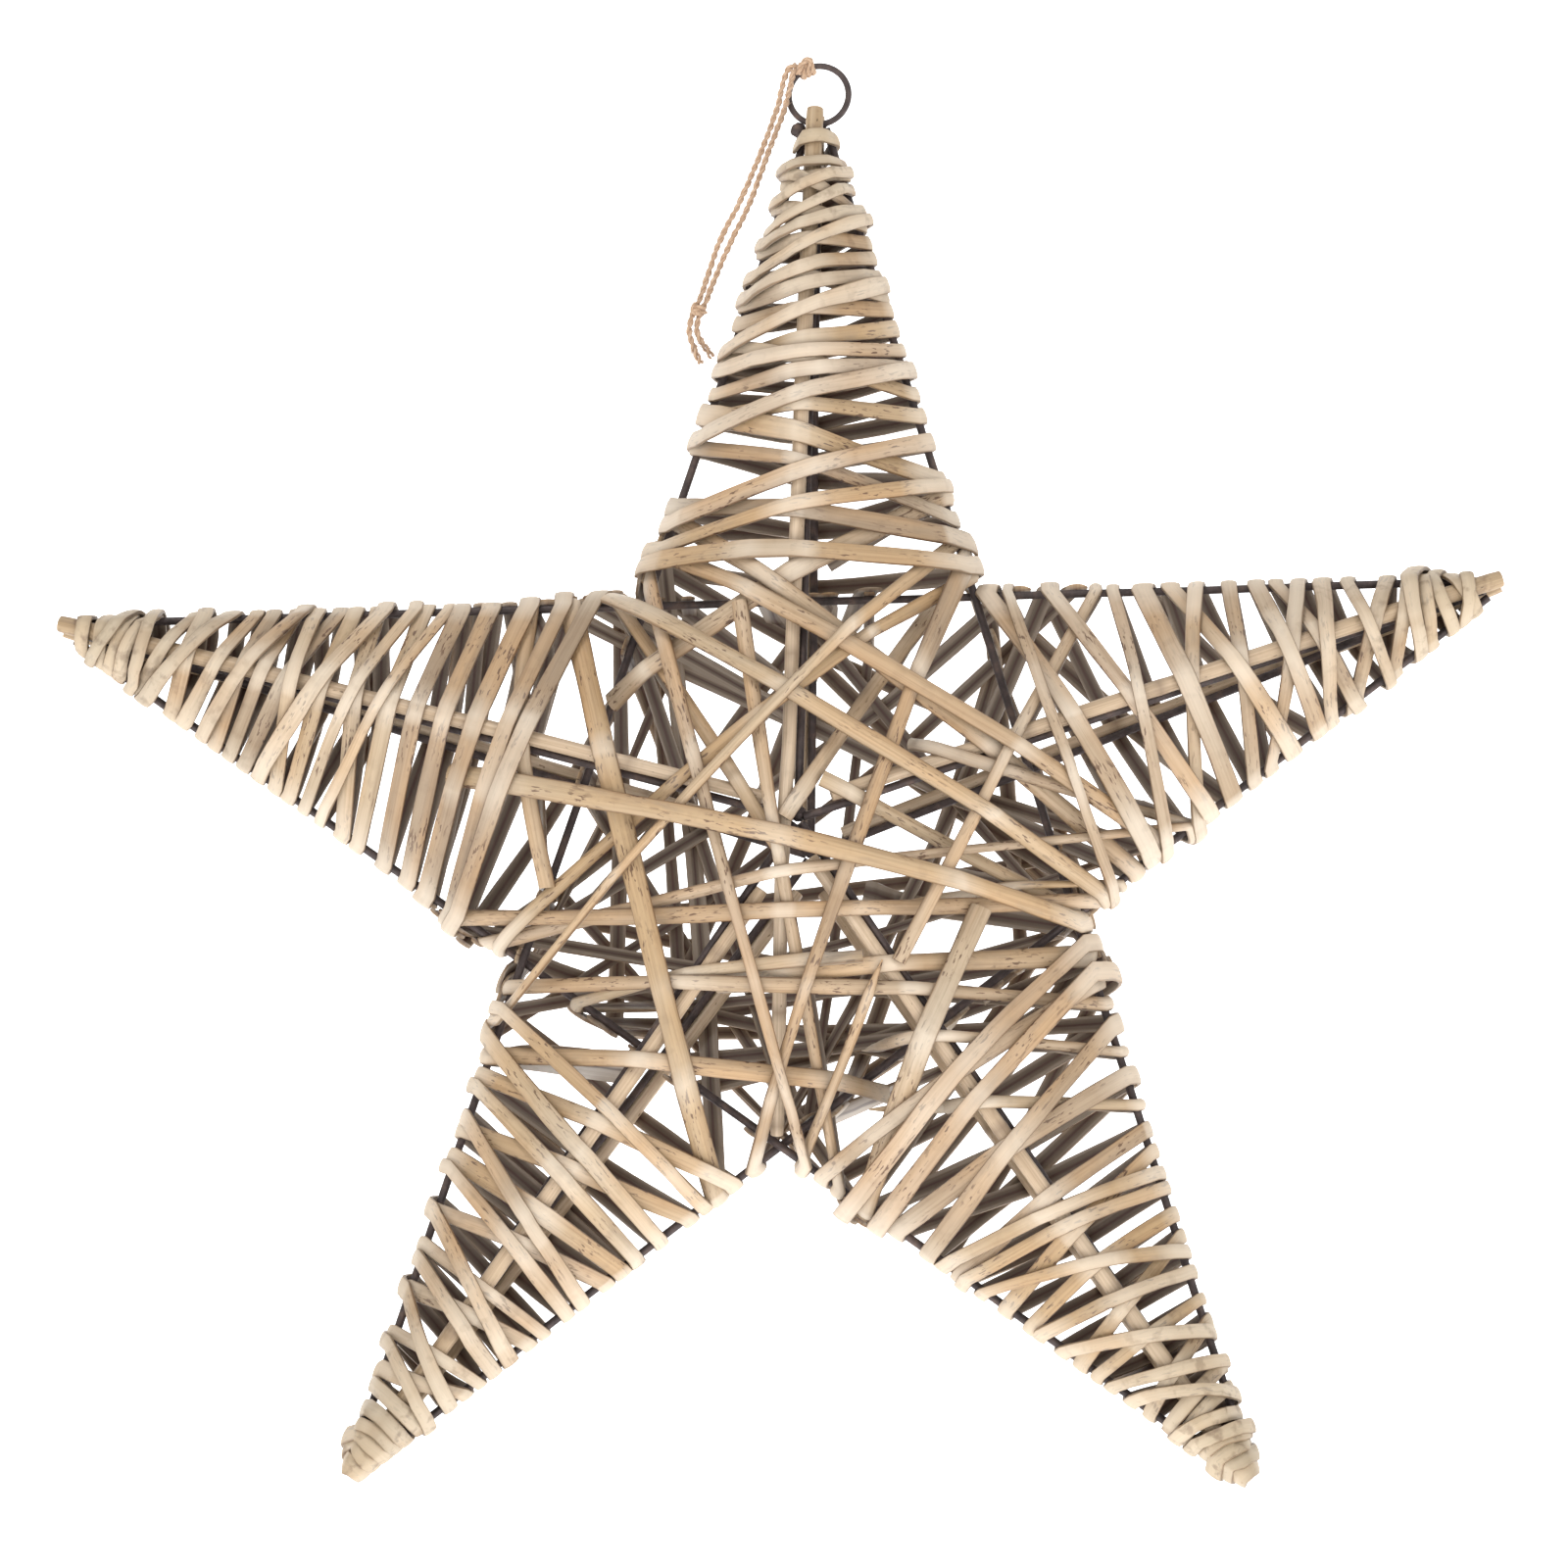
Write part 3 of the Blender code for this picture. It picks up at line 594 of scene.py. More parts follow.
# %% Jute
def jute_finish():
    made, tree, shader = new_finish("Jute", 0.9)
    shader.inputs["Sheen Weight"].default_value = 0.25
    fibres = noise(tree, grain_place(tree, 500.0, 14.0, 11.0), 5.0)
    base = ramp(
        tree, fibres, (0.3, (0.36, 0.215, 0.125)), (0.5, (0.55, 0.365, 0.235)), (0.72, (0.72, 0.55, 0.40))
    )
    tree.links.new(base, shader.inputs["Base Color"])
    bump(tree, shader, fibres, 0.0004, 0.8)
    return made


JUTE = jute_finish()
print("finish:", JUTE.name)

# %% [markdown]
# ## The jute string
#
# The string is a doubled length of two-ply jute. It is knotted round the ring, its two strands hang
# side by side, an overhand knot holds them together and the cut tails hang below that. Each strand
# with its tail is one cord: a line, and two yarns that twist round it.

# %% Where the string runs
CORD_ROUTES = (
    (
        (-0.0094, -0.0023, 0.0013), (-0.0122, -0.0022, 0.0001), (-0.0142, -0.0026, -0.0040),
        (-0.0157, -0.0031, -0.0105), (-0.0175, -0.0031, -0.0180), (-0.0244, -0.0030, -0.0370),
        (-0.0330, -0.0028, -0.0573), (-0.0413, -0.0026, -0.0738), (-0.0468, -0.0025, -0.0900),
        (-0.0500, -0.0024, -0.0994), (-0.0531, -0.0024, -0.1062), (-0.0541, -0.0022, -0.1128),
        (-0.0523, -0.0020, -0.1195), (-0.0494, -0.0018, -0.1260),
    ),
    (
        (-0.0104, -0.0030, -0.0006), (-0.0114, -0.0035, -0.0064), (-0.0127, -0.0034, -0.0120),
        (-0.0146, -0.0033, -0.0190), (-0.0216, -0.0030, -0.0380), (-0.0292, -0.0028, -0.0588),
        (-0.0372, -0.0026, -0.0754), (-0.0438, -0.0025, -0.0910), (-0.0474, -0.0024, -0.1005),
        (-0.0504, -0.0024, -0.1072), (-0.0508, -0.0022, -0.1132), (-0.0479, -0.0020, -0.1186),
        (-0.0446, -0.0018, -0.1236),
    ),
)
print("points on the two strands:", [len(route) for route in CORD_ROUTES])

# %% [markdown]
# ## Lines for cord
#
# A cord's line is a smooth curve through a few measured points. A simulated hanging cord would fall
# straight down, but this one keeps the lean and the small bends that it was packed with.

# %% Smooth lines
def smooth_line(points, step):
    """A smooth curve through all the points, cut into steps of about this length."""
    points = np.array(points, float)
    points = np.vstack([2 * points[0] - points[1], points, 2 * points[-1] - points[-2]])
    fine = []
    for before, here, there, after in zip(points, points[1:], points[2:], points[3:]):
        for share in np.arange(0.0, 1.0, 0.05):
            bend = 2 * before - 5 * here + 4 * there - after
            twist = 3 * (here - there) + after - before
            fine.append(here + share / 2 * (there - before + share * (bend + share * twist)))
    fine = np.array(fine + [points[-2]])
    run = run_along(fine)
    return at_places(fine, run, np.linspace(0.0, run[-1], max(2, round(run[-1] / step) + 1)))


def line_length(line):
    return float(np.linalg.norm(np.diff(line, axis=0), axis=1).sum())


def frames_along(line):
    """Two directions square to the line at each of its points, which never spin round it."""
    ways = np.gradient(line, axis=0)
    ways /= np.linalg.norm(ways, axis=1)[:, None]
    return carried(ways, np.cross(ways[0], (0.0, 1.0, 0.0)))


# %% [markdown]
# ## Yarn and stray hairs
#
# Jute twine is two yarns twisted together, a little uneven, and open where it is cut. Each yarn is a
# tube that winds round the cord's line. A twist painted on one smooth tube would be lost at its
# outline, where it shows most. Hairs that stand off it are three-sided tubes, a fifth of a millimetre
# thick at most.

# %% Yarn and hairs
RNG = np.random.default_rng(7)
TWINE_RADIUS = 0.0012
YARNS = 2
YARN_OFFSET, YARN_RADIUS = 0.50, 0.64
YARN_LUMP = 0.0031
HAIR_RADII = (0.00009, 0.00008, 0.00003)


def twisted(shape, line, radius, pitch, shade=0.0, open_end=0.0):
    """Yarns that twist round a line. The last stretch may come untwisted."""
    first, second = frames_along(line)
    run = run_along(line)
    loosen = np.clip((run - run[-1] + open_end) / max(open_end, 1e-6), 0.0, 1.0)
    for yarn in range(YARNS):
        angle = 2 * np.pi * (run / pitch + yarn / YARNS)[:, None]
        off = radius * (YARN_OFFSET + 0.35 * loosen)
        centre = line + off[:, None] * (np.cos(angle) * first + np.sin(angle) * second)
        thick = radius * (YARN_RADIUS - 0.16 * loosen) * (1 + 0.10 * np.sin(run / YARN_LUMP + 2 * yarn))
        tube(shape, centre, thick, sides=8, shade=shade + 0.13 * yarn)


def hairs(shape, line, count, reach, length):
    """Stray fibres that stand off a line."""
    first, second = frames_along(line)
    for _ in range(count):
        index = int(RNG.integers(1, len(line) - 1))
        angle = RNG.uniform(0, 2 * math.pi)
        out = first[index] * math.cos(angle) + second[index] * math.sin(angle)
        way = unit(line[index + 1] - line[index - 1]) * RNG.choice((-1, 1))
        start = line[index] + out * reach
        size = length * RNG.uniform(0.4, 1.0)
        points = [start + (way * on + out * off) * size for on, off in ((0, 0), (0.6, 0.25), (0.9, 0.62))]
        tube(shape, points, HAIR_RADII, sides=3, shade=0.6)


print("yarns: %d, each %.1f mm thick" % (YARNS, 2000 * TWINE_RADIUS * YARN_RADIUS))

# %% [markdown]
# ## Two cords
#
# The string is one length, doubled, so it hangs as two cords. Each is drawn here with its tail.

# %% The two cords
CORD_PITCH, OPEN_END = 0.0075, 0.009
CORD_STEP = 0.0007
STRING_NODES = (("string_strand_1", "string_tail_1"), ("string_strand_2", "string_tail_2"))
cords, cord_lines = [], []
for number, route in enumerate(CORD_ROUTES):
    line = smooth_line(route, CORD_STEP)
    shape = Shape()
    twisted(shape, line, TWINE_RADIUS, CORD_PITCH, shade=0.3 * number, open_end=OPEN_END)
    name = "jute_string_%d" % (number + 1)
    cords.append(make_piece(name, shape, JUTE, STRING_NODES[number]))
    cord_lines.append(line)
    print(name, "is %.0f mm long" % (1000 * line_length(line)))

# %% [markdown]
# ## The knot on the ring
#
# The string goes three times round the ring wire, and one more turn crosses over the three. The same
# two yarns follow a line round the wire. A lump with a jute finish would do from far away, but the
# turns show against the pale wall.

# %% Knot on the ring
RING_MIDDLE_RADIUS, RING_WIRE_RADIUS = 0.01255, 0.00135
RING_CENTRE_Z = -0.0112
KNOT_ANGLE = math.radians(25.0)
KNOT_TURNS, STEPS_PER_TURN = 3, 24
KNOT_PITCH, KNOT_STEP = 0.0070, 0.0006
CROSSING_TURN = (
    (0.0042, -0.0012, 0.0024), (0.0016, 0.0012, 0.0044),
    (-0.0016, 0.0024, 0.0038), (-0.0034, 0.0014, 0.0026),
)
ring_out = np.array([-math.sin(KNOT_ANGLE), 0.0, math.cos(KNOT_ANGLE)])
ring_way = np.array([-math.cos(KNOT_ANGLE), 0.0, -math.sin(KNOT_ANGLE)])
front_way = np.array([0.0, -1.0, 0.0])
knot_middle = np.array([0.0, 0.0, RING_CENTRE_Z]) + ring_out * RING_MIDDLE_RADIUS
radius = RING_WIRE_RADIUS + TWINE_RADIUS + 0.0001
loops = []
for step in range(KNOT_TURNS * STEPS_PER_TURN + 1):
    angle = 2 * math.pi * step / STEPS_PER_TURN
    share = step / (KNOT_TURNS * STEPS_PER_TURN)
    place = knot_middle + ring_way * (share - 0.5) * 5.2 * TWINE_RADIUS
    loops.append(place + radius * (ring_out * math.cos(angle) + front_way * math.sin(angle)))
shape = Shape()
twisted(shape, np.array(loops), TWINE_RADIUS, KNOT_PITCH, shade=0.2)
cross = [knot_middle + ring_way * a + ring_out * b + front_way * c for a, b, c in CROSSING_TURN]
twisted(shape, smooth_line(cross, KNOT_STEP), TWINE_RADIUS, KNOT_PITCH, shade=0.5)
ring_knot = make_piece("string_knot_on_ring", shape, JUTE, ["string_ring_knot"])
print("turns round the ring:", KNOT_TURNS)

# %% [markdown]
# ## The overhand knot
#
# Below, both strands are tied together in one overhand knot. It is a loop drawn tight, listed in
# millimetres to the right, down and to the front, and laid twice, once inside the other.

# %% Overhand knot
MM = 0.001
KNOT_LEAN = math.radians(23.5)
TIGHT_LOOP = (
    (-1.6, -1.5, 1.2), (-2.4, -0.2, 1.6), (-1.5, 1.5, 1.9), (0.7, 2.0, 2.2),
    (2.5, 0.9, 1.0), (2.4, -0.6, -1.0), (0.8, -1.2, -2.2), (-1.2, -0.5, -2.3),
    (-2.5, 0.9, -0.9), (-1.8, 1.0, 1.1), (0.0, -0.2, 2.6), (1.9, -1.6, 1.2),
)
down = np.array([-math.sin(KNOT_LEAN), 0.0, -math.cos(KNOT_LEAN)])
right = np.array([math.cos(KNOT_LEAN), 0.0, -math.sin(KNOT_LEAN)])
knot = np.array([-0.0502, -0.0024, -0.1033])
shape = Shape()
for scale, shade in ((1.0, 0.1), (0.72, 0.5)):
    route = [knot + (right * a + down * b + front_way * c) * MM * scale for a, b, c in TIGHT_LOOP]
    twisted(shape, smooth_line(route, KNOT_STEP), TWINE_RADIUS, KNOT_PITCH, shade=shade)
end_knot = make_piece("string_end_knot_tied", shape, JUTE, ["string_end_knot"])
print("overhand knot at z", round(1000 * knot[2]), "mm")

# %% [markdown]
# ## Hairs
#
# Short hairs stand off the whole string, and longer ones off its cut tails.

# %% Stray fibres
TAIL_POINTS = 16
shape = Shape()
for line in cord_lines:
    hairs(shape, line, 90, 0.0010, 0.0035)
    hairs(shape, line[-TAIL_POINTS:], 60, 0.0007, 0.0060)
make_piece("string_stray_fibres", shape, JUTE, [])

print("cords described:", len(cords))

# %% [markdown]
# ## Hand-bent wire and weld
#
# Wire that is bent by hand is never dead straight, so each line wanders by a tenth of a millimetre or
# two: two waves with a random start, faded out at the ends so that the welds still meet. A weld is a
# small uneven lump of points round a ball.

# %% Wandering lines and lumps of weld
WIRE_RADIUS = 0.0017
WIRE_STEP = 0.009
OUTLINE_WANDER, RIDGE_WANDER = 0.00012, 0.00015
FADE_LENGTH = 0.03


def wander(points, size, step):
    """A line through the points with points added and moved a little sideways."""
    points = np.array(points)
    run = run_along(points)
    places = np.linspace(0.0, run[-1], int(run[-1] / step) + 2)
    line = at_places(points, run, places)
    fade = np.minimum(1.0, np.minimum(places, run[-1] - places) / FADE_LENGTH)
    for axis in range(3):
        phase = RNG.uniform(0, 6.3, 2)
        shift = np.sin(places / 0.043 + phase[0]) + 0.6 * np.sin(places / 0.019 + phase[1])
        line[:, axis] += size * shift * fade
    return line


def blob(shape, centre, size):
    """A small uneven lump of weld."""
    rings, sides = 7, 10
    points = []
    for ring in range(rings + 1):
        tilt = math.pi * ring / rings
        for side in range(sides):
            angle = 2 * math.pi * side / sides
            rough = 1 + 0.12 * math.sin(3 * angle + ring)
            wide = math.sin(tilt)
            out = np.array([wide * math.cos(angle), wide * math.sin(angle), math.cos(tilt)])
            points.append(centre + out * np.array(size) * rough)
    shape.add(points, ring_faces(rings + 1, sides))


def wire_tube(corners, size):
    """A shape with one wandering wire, which also goes on the maps."""
    raise_map_by_tube(np.array(corners), [WIRE_RADIUS] * len(corners))
    line = wander(corners, size, WIRE_STEP)
    shape = Shape()
    tube(shape, line, [WIRE_RADIUS] * len(line))
    return shape


print("wires wander by %.2f mm" % (1000 * RIDGE_WANDER))

# %% [markdown]
# ## The outline wires
#
# The outline wires pass over and under each other at the five inner corners, each one first over and
# then under. So each wire has a low and a high corner between its ends.

# %% Outline wires
ARM_NAMES = ("top", "right", "lower_right", "lower_left", "left")
WEAVE = 0.00185

for wire in range(5):
    start, end = WIRE_ENDS[wire]
    corners = [
        in_space(start, 0.0),
        in_space(wire_point(wire, crossing(wire, (wire + 4) % 5)), -WEAVE),
        in_space(wire_point(wire, crossing(wire, (wire + 1) % 5)), WEAVE),
        in_space(end, 0.0),
    ]
    shape = wire_tube(corners, OUTLINE_WANDER)
    place = "%s_to_%s" % (ARM_NAMES[wire], ARM_NAMES[(wire + 2) % 5])
    make_piece("iron_wire_" + place, shape, DARK_IRON, ["outline_wire_" + place])
print("outline wires: 5")

# %% [markdown]
# ## The ridge wires
#
# Five wires rise from the tips to the peak in front, and five to the peak behind. They are welded to
# the outline at each tip and to each other at the peaks. Each stops a little short of the peak, and
# the lump of weld fills the gap.

# %% Ridge wires and their welds
PEAK_DEPTH, TIP_DEPTH = 0.054, 0.0020
PEAK = MIDDLE + np.array([0.004, 0.004])
PEAK_GAP = 0.0022
TIP_WELD, PEAK_WELD = (0.0021, 0.0016, 0.0019), (0.0034, 0.0026, 0.0030)


def ridge_ends(arm, face):
    return in_space(tip(arm), face * TIP_DEPTH), in_space(PEAK, face * PEAK_DEPTH)


for face, where in ((FRONT, "front"), (BACK, "back")):
    for arm in range(5):
        start, end = ridge_ends(arm, face)
        end = end - unit(end - start) * PEAK_GAP
        shape = wire_tube([start, end], RIDGE_WANDER)
        blob(shape, in_space(tip(arm), face * 0.001) - in_space(plan_axis(arm), 0) * 0.0015, TIP_WELD)
        if arm == 0:
            blob(shape, end + np.array([0.0, -face * 0.0015, 0.0]), PEAK_WELD)
        name = "%s_ridge_wire_%s" % (where, ARM_NAMES[arm])
        make_piece("iron_" + name, shape, DARK_IRON, [name])
print("wires are on the map")

# %% [markdown]
# ## The hanging ring
#
# The ring is thinner wire, bent round and welded to the frame beside the top stick. Bent over a rod, it
# isn't a true circle, so a tenth of a millimetre is added to it and taken from it. Two lumps of weld
# and a short stub of wire hold it.

# %% The ring and its weld
RING_POINTS = 72
OUT_OF_ROUND, OUT_OF_PLANE = 0.00012, 0.0001
STUB = np.array([0.0022, 0.0, -0.0080])
shape = Shape()
around = []
for step in range(RING_POINTS):
    angle = 2 * math.pi * step / RING_POINTS
    radius = RING_MIDDLE_RADIUS + OUT_OF_ROUND * math.sin(2 * angle)
    depth = OUT_OF_PLANE * math.sin(3 * angle)
    around.append((radius * math.sin(angle), depth, RING_CENTRE_Z + radius * math.cos(angle)))
tube(shape, around, [RING_WIRE_RADIUS] * RING_POINTS, sides=14, closed=True)
weld = np.array([-0.0086, -0.0004, -0.0262])
blob(shape, weld, (0.0032, 0.0022, 0.0030))
tube(shape, [weld, weld + STUB], [WIRE_RADIUS, WIRE_RADIUS], sides=10)
low_weld = np.array([0.0, 0.0006, RING_CENTRE_Z - RING_MIDDLE_RADIUS - 0.0006])
blob(shape, low_weld, (0.0040, 0.0017, 0.0016))
make_piece("iron_hanging_ring", shape, DARK_IRON, ["hanging_ring"])
print("ring: %.1f mm across" % (2000 * (RING_MIDDLE_RADIUS + RING_WIRE_RADIUS)))

# %% [markdown]
# ## Where a stick lies
#
# A thin round stick lies beside each ridge wire, thick end at the tip and cut straight across. It
# starts on top of the wire and comes down to its side further in. The places are the solids', so the
# dressed stick covers its solid.

# %% Points of a stick
STICK_TIP_RADIUS, STICK_INNER_RADIUS = 0.0037, 0.0028
CLOCKWISE, COUNTER = 1, -1
STICK_SIDES = (COUNTER, COUNTER, CLOCKWISE, COUNTER, CLOCKWISE)
STICK_TIP_TURN, STICK_INNER_TURN = 8.0, 70.0
STICK_GAP = 0.0004


def stick_point(arm, face, from_tip):
    """Middle of a stick beside its ridge wire, and its radius there."""
    start, end = ridge_ends(arm, face)
    span = PEAK - tip(arm)
    share = from_tip / (np.linalg.norm(span) + WIRE_SHORT)
    radius = STICK_TIP_RADIUS + (STICK_INNER_RADIUS - STICK_TIP_RADIUS) * share
    angle = math.radians(STICK_TIP_TURN + (STICK_INNER_TURN - STICK_TIP_TURN) * share)
    inward = unit(span)
    across = np.array([-inward[1], inward[0]]) * STICK_SIDES[arm]
    middle = start + (end - start) * (from_tip - WIRE_SHORT) / np.linalg.norm(span)
    sideways = in_space(across * math.sin(angle), face * math.cos(angle))
    return middle + sideways * (WIRE_RADIUS + radius + STICK_GAP), radius


print("sticks: %.1f mm thick at the tip" % (2000 * STICK_TIP_RADIUS))

# %% [markdown]
# ## Buds on a stick
#
# A bud leaves a low swelling every few centimetres, with a ring of dark skin. The swelling is in the
# mesh, and the same share goes to the finish as a measure, so the two always meet.

# %% A stick with buds
STICK_FACETS = 16
BUD_HALF = 0.0022


def willow_rod(shape, line, radii, shade):
    """A stick with bud swellings, and a slightly smaller cut at both ends."""
    run = run_along(line)
    marks = np.zeros(len(line))
    place = RNG.uniform(0.015, 0.05)
    while place < run[-1]:
        near = np.exp(-(((run - place) / BUD_HALF) ** 2))
        radii = radii * (1 + 0.07 * near)
        marks = np.maximum(marks, near * 0.8)
        place += RNG.uniform(0.045, 0.085)
    first = len(shape.points)
    radii[0] *= 0.93
    radii[-1] *= 0.9
    tube(shape, line, radii, sides=STICK_FACETS, shade=shade)
    shape.measures["bend"][first:] = np.repeat(marks, STICK_FACETS)


print("flat strips round a stick:", STICK_FACETS)

# %% [markdown]
# ## Taut over what lies below
#
# A thing that is pulled taut over a row of heights touches only some of them, and is straight in
# between. Those are the corners of the hull over the row. Willow can't bend sharply, so each height is
# first widened by a circle of the tightest bend.

# %% Taut lines
RUN_STEP = 0.0006
BEND_REACH = 0.010


def taut(places, heights_needed):
    """The taut line over a row of needed heights: the ones that it rests on."""
    hull = []
    for point in zip(places, heights_needed):
        while len(hull) > 1:
            (x0, y0), (x1, y1) = hull[-2], hull[-1]
            if (x1 - x0) * (point[1] - y0) < (y1 - y0) * (point[0] - x0):
                break
            hull.pop()
        hull.append(point)
    return np.array(hull)


def rounded_need(places, need, radius, low, high):
    """The needed heights, widened so that a taut line over them bends no tighter than this radius."""
    step = places[1] - places[0]
    reach = int(BEND_REACH / step)
    inside = (places > low) & (places < high)
    source = np.where(inside, need, BARE)
    best = source.copy()
    for shift in range(1, reach + 1):
        drop = (shift * step) ** 2 / (2 * radius)
        best[shift:] = np.maximum(best[shift:], source[:-shift] - drop)
        best[:-shift] = np.maximum(best[:-shift], source[shift:] - drop)
    return np.where(inside, np.maximum(best, need), need)


print("a taut line over heights 0, 1, 0, 2, 0 rests on", len(taut(range(5), (0, 1, 0, 2, 0))), "of them")

# %% [markdown]
# ## The ten sticks
#
# The front stick of the top arm is longer than the others. It runs on over the peak, down to the inner
# corner at the bottom, and is bent taut over the sticks and wires there. So it is laid last in front.

# %% Sticks
STICK_STOP, LONGER_STOP = 0.016, 0.032
STICK_CLEAR = 1.08
HELD_STEPS = 14
STICK_BEND, FREE_FROM = 0.05, 0.012
STICK_PARTS = 48
STICK_WANDER, STICK_STEP = 0.00012, 0.0045
LOW_CORNER = wire_point(1, crossing(1, 2)) + np.array([-0.001, 0.004])


def run_on_line(point, radius, low):
    """Plan and height of the long stick from the last point beside its wire to the low corner."""
    start = point[[0, 2]]
    length = np.linalg.norm(low - start)
    way = (low - start) / length
    steps = np.arange(0.0, length, RUN_STEP)
    need = np.full(len(steps), BARE)
    for share in (-0.8, 0.0, 0.8):
        places = start + np.outer(steps, way) + np.array([-way[1], way[0]]) * radius * share
        need = np.maximum(need, heights[FRONT][cells(places)] + radius * STICK_CLEAR)
    need[0] = -point[1]
    need[1:HELD_STEPS] = np.minimum(need[1:HELD_STEPS], -point[1])
    need = rounded_need(steps, need, STICK_BEND, FREE_FROM, length)
    hull = taut(steps, need)
    shown = np.linspace(0.0, length, 40)[1:]
    rise = np.interp(shown, hull[:, 0], hull[:, 1])
    return [in_space(start + way * place, -height) for place, height in zip(shown, rise)]


for face, where in ((FRONT, "front"), (BACK, "back")):
    for arm in (1, 2, 3, 4, 0):
        stop = LONGER_STOP if face == FRONT and arm in (0, 3) else STICK_STOP
        last = np.linalg.norm(PEAK - tip(arm)) + WIRE_SHORT - stop
        made = [stick_point(arm, face, last * step / STICK_PARTS) for step in range(STICK_PARTS + 1)]
        line = [place for place, _ in made]
        radii = [radius for _, radius in made]
        if arm == 0 and face == FRONT:
            more = run_on_line(line[-1], radii[-1], LOW_CORNER)
            line += more
            radii += [radii[-1]] * len(more)
        raise_map_by_tube(np.array(line), radii)
        bent = wander(line, STICK_WANDER, STICK_STEP)
        unbent = wander(line, 0.0, STICK_STEP)
        places = np.linspace(0, 1, len(unbent))
        thick = np.interp(places, np.linspace(0, 1, len(radii)), radii)
        shape = Shape()
        willow_rod(shape, bent, thick, RNG.uniform())
        name = "%s_stick_%s" % (where, ARM_NAMES[arm])
        make_piece("willow_" + name, shape, WILLOW_STICK, [name])
print("sticks are on the map")

# %% [markdown]
# ## A split's turn round a wire
#
# A split goes over the front from one outline wire to another, turns round that wire, and comes back
# behind. Round a wire, both its edges follow a small circle outside whatever is wound there already,
# so each wire keeps a row of how thick it has become.

# %% Splits: turns round a wire
GAP = 0.00015
SPLIT_THICKNESS = 0.0020
WRAP_STEP = 0.0005
WRAP_SHARE = 0.6
WRAP_PRESSED = 0.8
STEEPEST = 1.6
wrapped = [np.full(int(length / WRAP_STEP) + 40, WIRE_RADIUS) for length in WIRE_LENGTHS]


def wire_depth(wire, along):
    """How far behind the middle plane an outline wire runs."""
    places = (0.0, crossing(wire, (wire + 4) % 5), crossing(wire, (wire + 1) % 5), WIRE_LENGTHS[wire])
    return float(np.interp(along, places, (0.0, -WEAVE, WEAVE, 0.0)))


def turn_round(wire, along, before, after, width):
    """A turn round an outline wire, between the plan points that the split comes from and goes to."""
    point, way = wire_point(wire, along), WIRE_WAYS[wire]
    out = np.array([-way[1], way[0]])
    toward = before if before is not None else after
    if (toward - point) @ out > 0:
        out = -out
    slopes = []
    for other, sign in ((before, 1.0), (after, -1.0)):
        if other is not None:
            run = unit(point - other) * sign
            slopes.append((run @ way) / abs(run @ out))
    slope = float(np.clip(np.mean(slopes), -STEEPEST, STEEPEST))
    spread = width / 2 * math.sqrt(1 + slope**2)
    low, high = (int(max(0.0, along + end * spread) / WRAP_STEP) for end in (-WRAP_SHARE, WRAP_SHARE))
    inside = float(wrapped[wire][low : high + 1].max()) + GAP
    wrapped[wire][low : high + 1] = inside + SPLIT_THICKNESS * WRAP_PRESSED
    return {
        "wire": wire,
        "along": along,
        "out": out,
        "slope": slope,
        "spread": spread,
        "radius": inside,
        "depth": wire_depth(wire, along),
    }


def free_end(point, width):
    """A cut end at a plan point. A third number is its height, for an end with nothing under it."""
    return {"point": np.array(point[:2]), "wire": None, "spread": width / 2, "rise": point[2:]}


print("bare wires: %.1f mm thick" % (2000 * WIRE_RADIUS))

# %% [markdown]
# ## The plan of a run
#
# Seen from the front, a run is a strip between the places where its two edges leave one wire and reach
# the next. A split that goes round a wire at a slant moves on along that wire as it turns, so both
# edges start a little further on. A few rods in the picture sag or bow, and a half wave gives that.

# %% Splits: the plan of a run
FEWEST_PLACES = 12


def edge_point(end, run, face, side, outgoing):
    """Plan place where one edge of a split meets the end of a run. side is -1 left, 0 middle, 1 right."""
    right = np.array([run[1], -run[0]]) * -face
    if end["wire"] is None:
        return end["point"] + right * end["spread"] * side
    way = WIRE_WAYS[end["wire"]]
    drift = math.pi / 2 * end["radius"] * end["slope"] * (1 if outgoing else -1)
    sign = 1.0 if right @ way > 0 else -1.0
    return wire_point(end["wire"], end["along"] + drift + sign * end["spread"] * side)


def plan_run(face, start, end, bow):
    """A run's direction, the distances along it, and the plans of its left edge, middle and right edge."""
    ends = []
    for place in (start, end):
        ends.append(place["point"] if place["wire"] is None else wire_point(place["wire"], place["along"]))
    run = unit(ends[1] - ends[0])
    sides = {}
    for side in (-1, 0, 1):
        sides[side] = edge_point(start, run, face, side, True), edge_point(end, run, face, side, False)
    length = np.linalg.norm(sides[0][1] - sides[0][0])
    share = np.linspace(0.0, 1.0, max(FEWEST_PLACES, int(length / RUN_STEP)))
    lean = np.array([-run[1], run[0]])
    curve = np.sin(np.pi * share)[:, None] * lean * bow
    plans = {side: a + np.outer(share, b - a) + curve for side, (a, b) in sides.items()}
    return run, share * length, plans


# %% [markdown]
# ## The heights under a run
#
# Three things hold a run up: whatever the map shows under it, the wire that it comes over at each end,
# and the quarter of a turn that it makes round that wire. Each gives a row of heights, and the taut
# line goes over all of them.

# %% Splits: heights under a run
ACROSS = (0.0, 0.25, 0.5, 0.75, 1.0)
TURN_ANGLES = np.radians([90.0, 66.0, 44.0, 22.0])
SLANT_LIMIT = 0.35


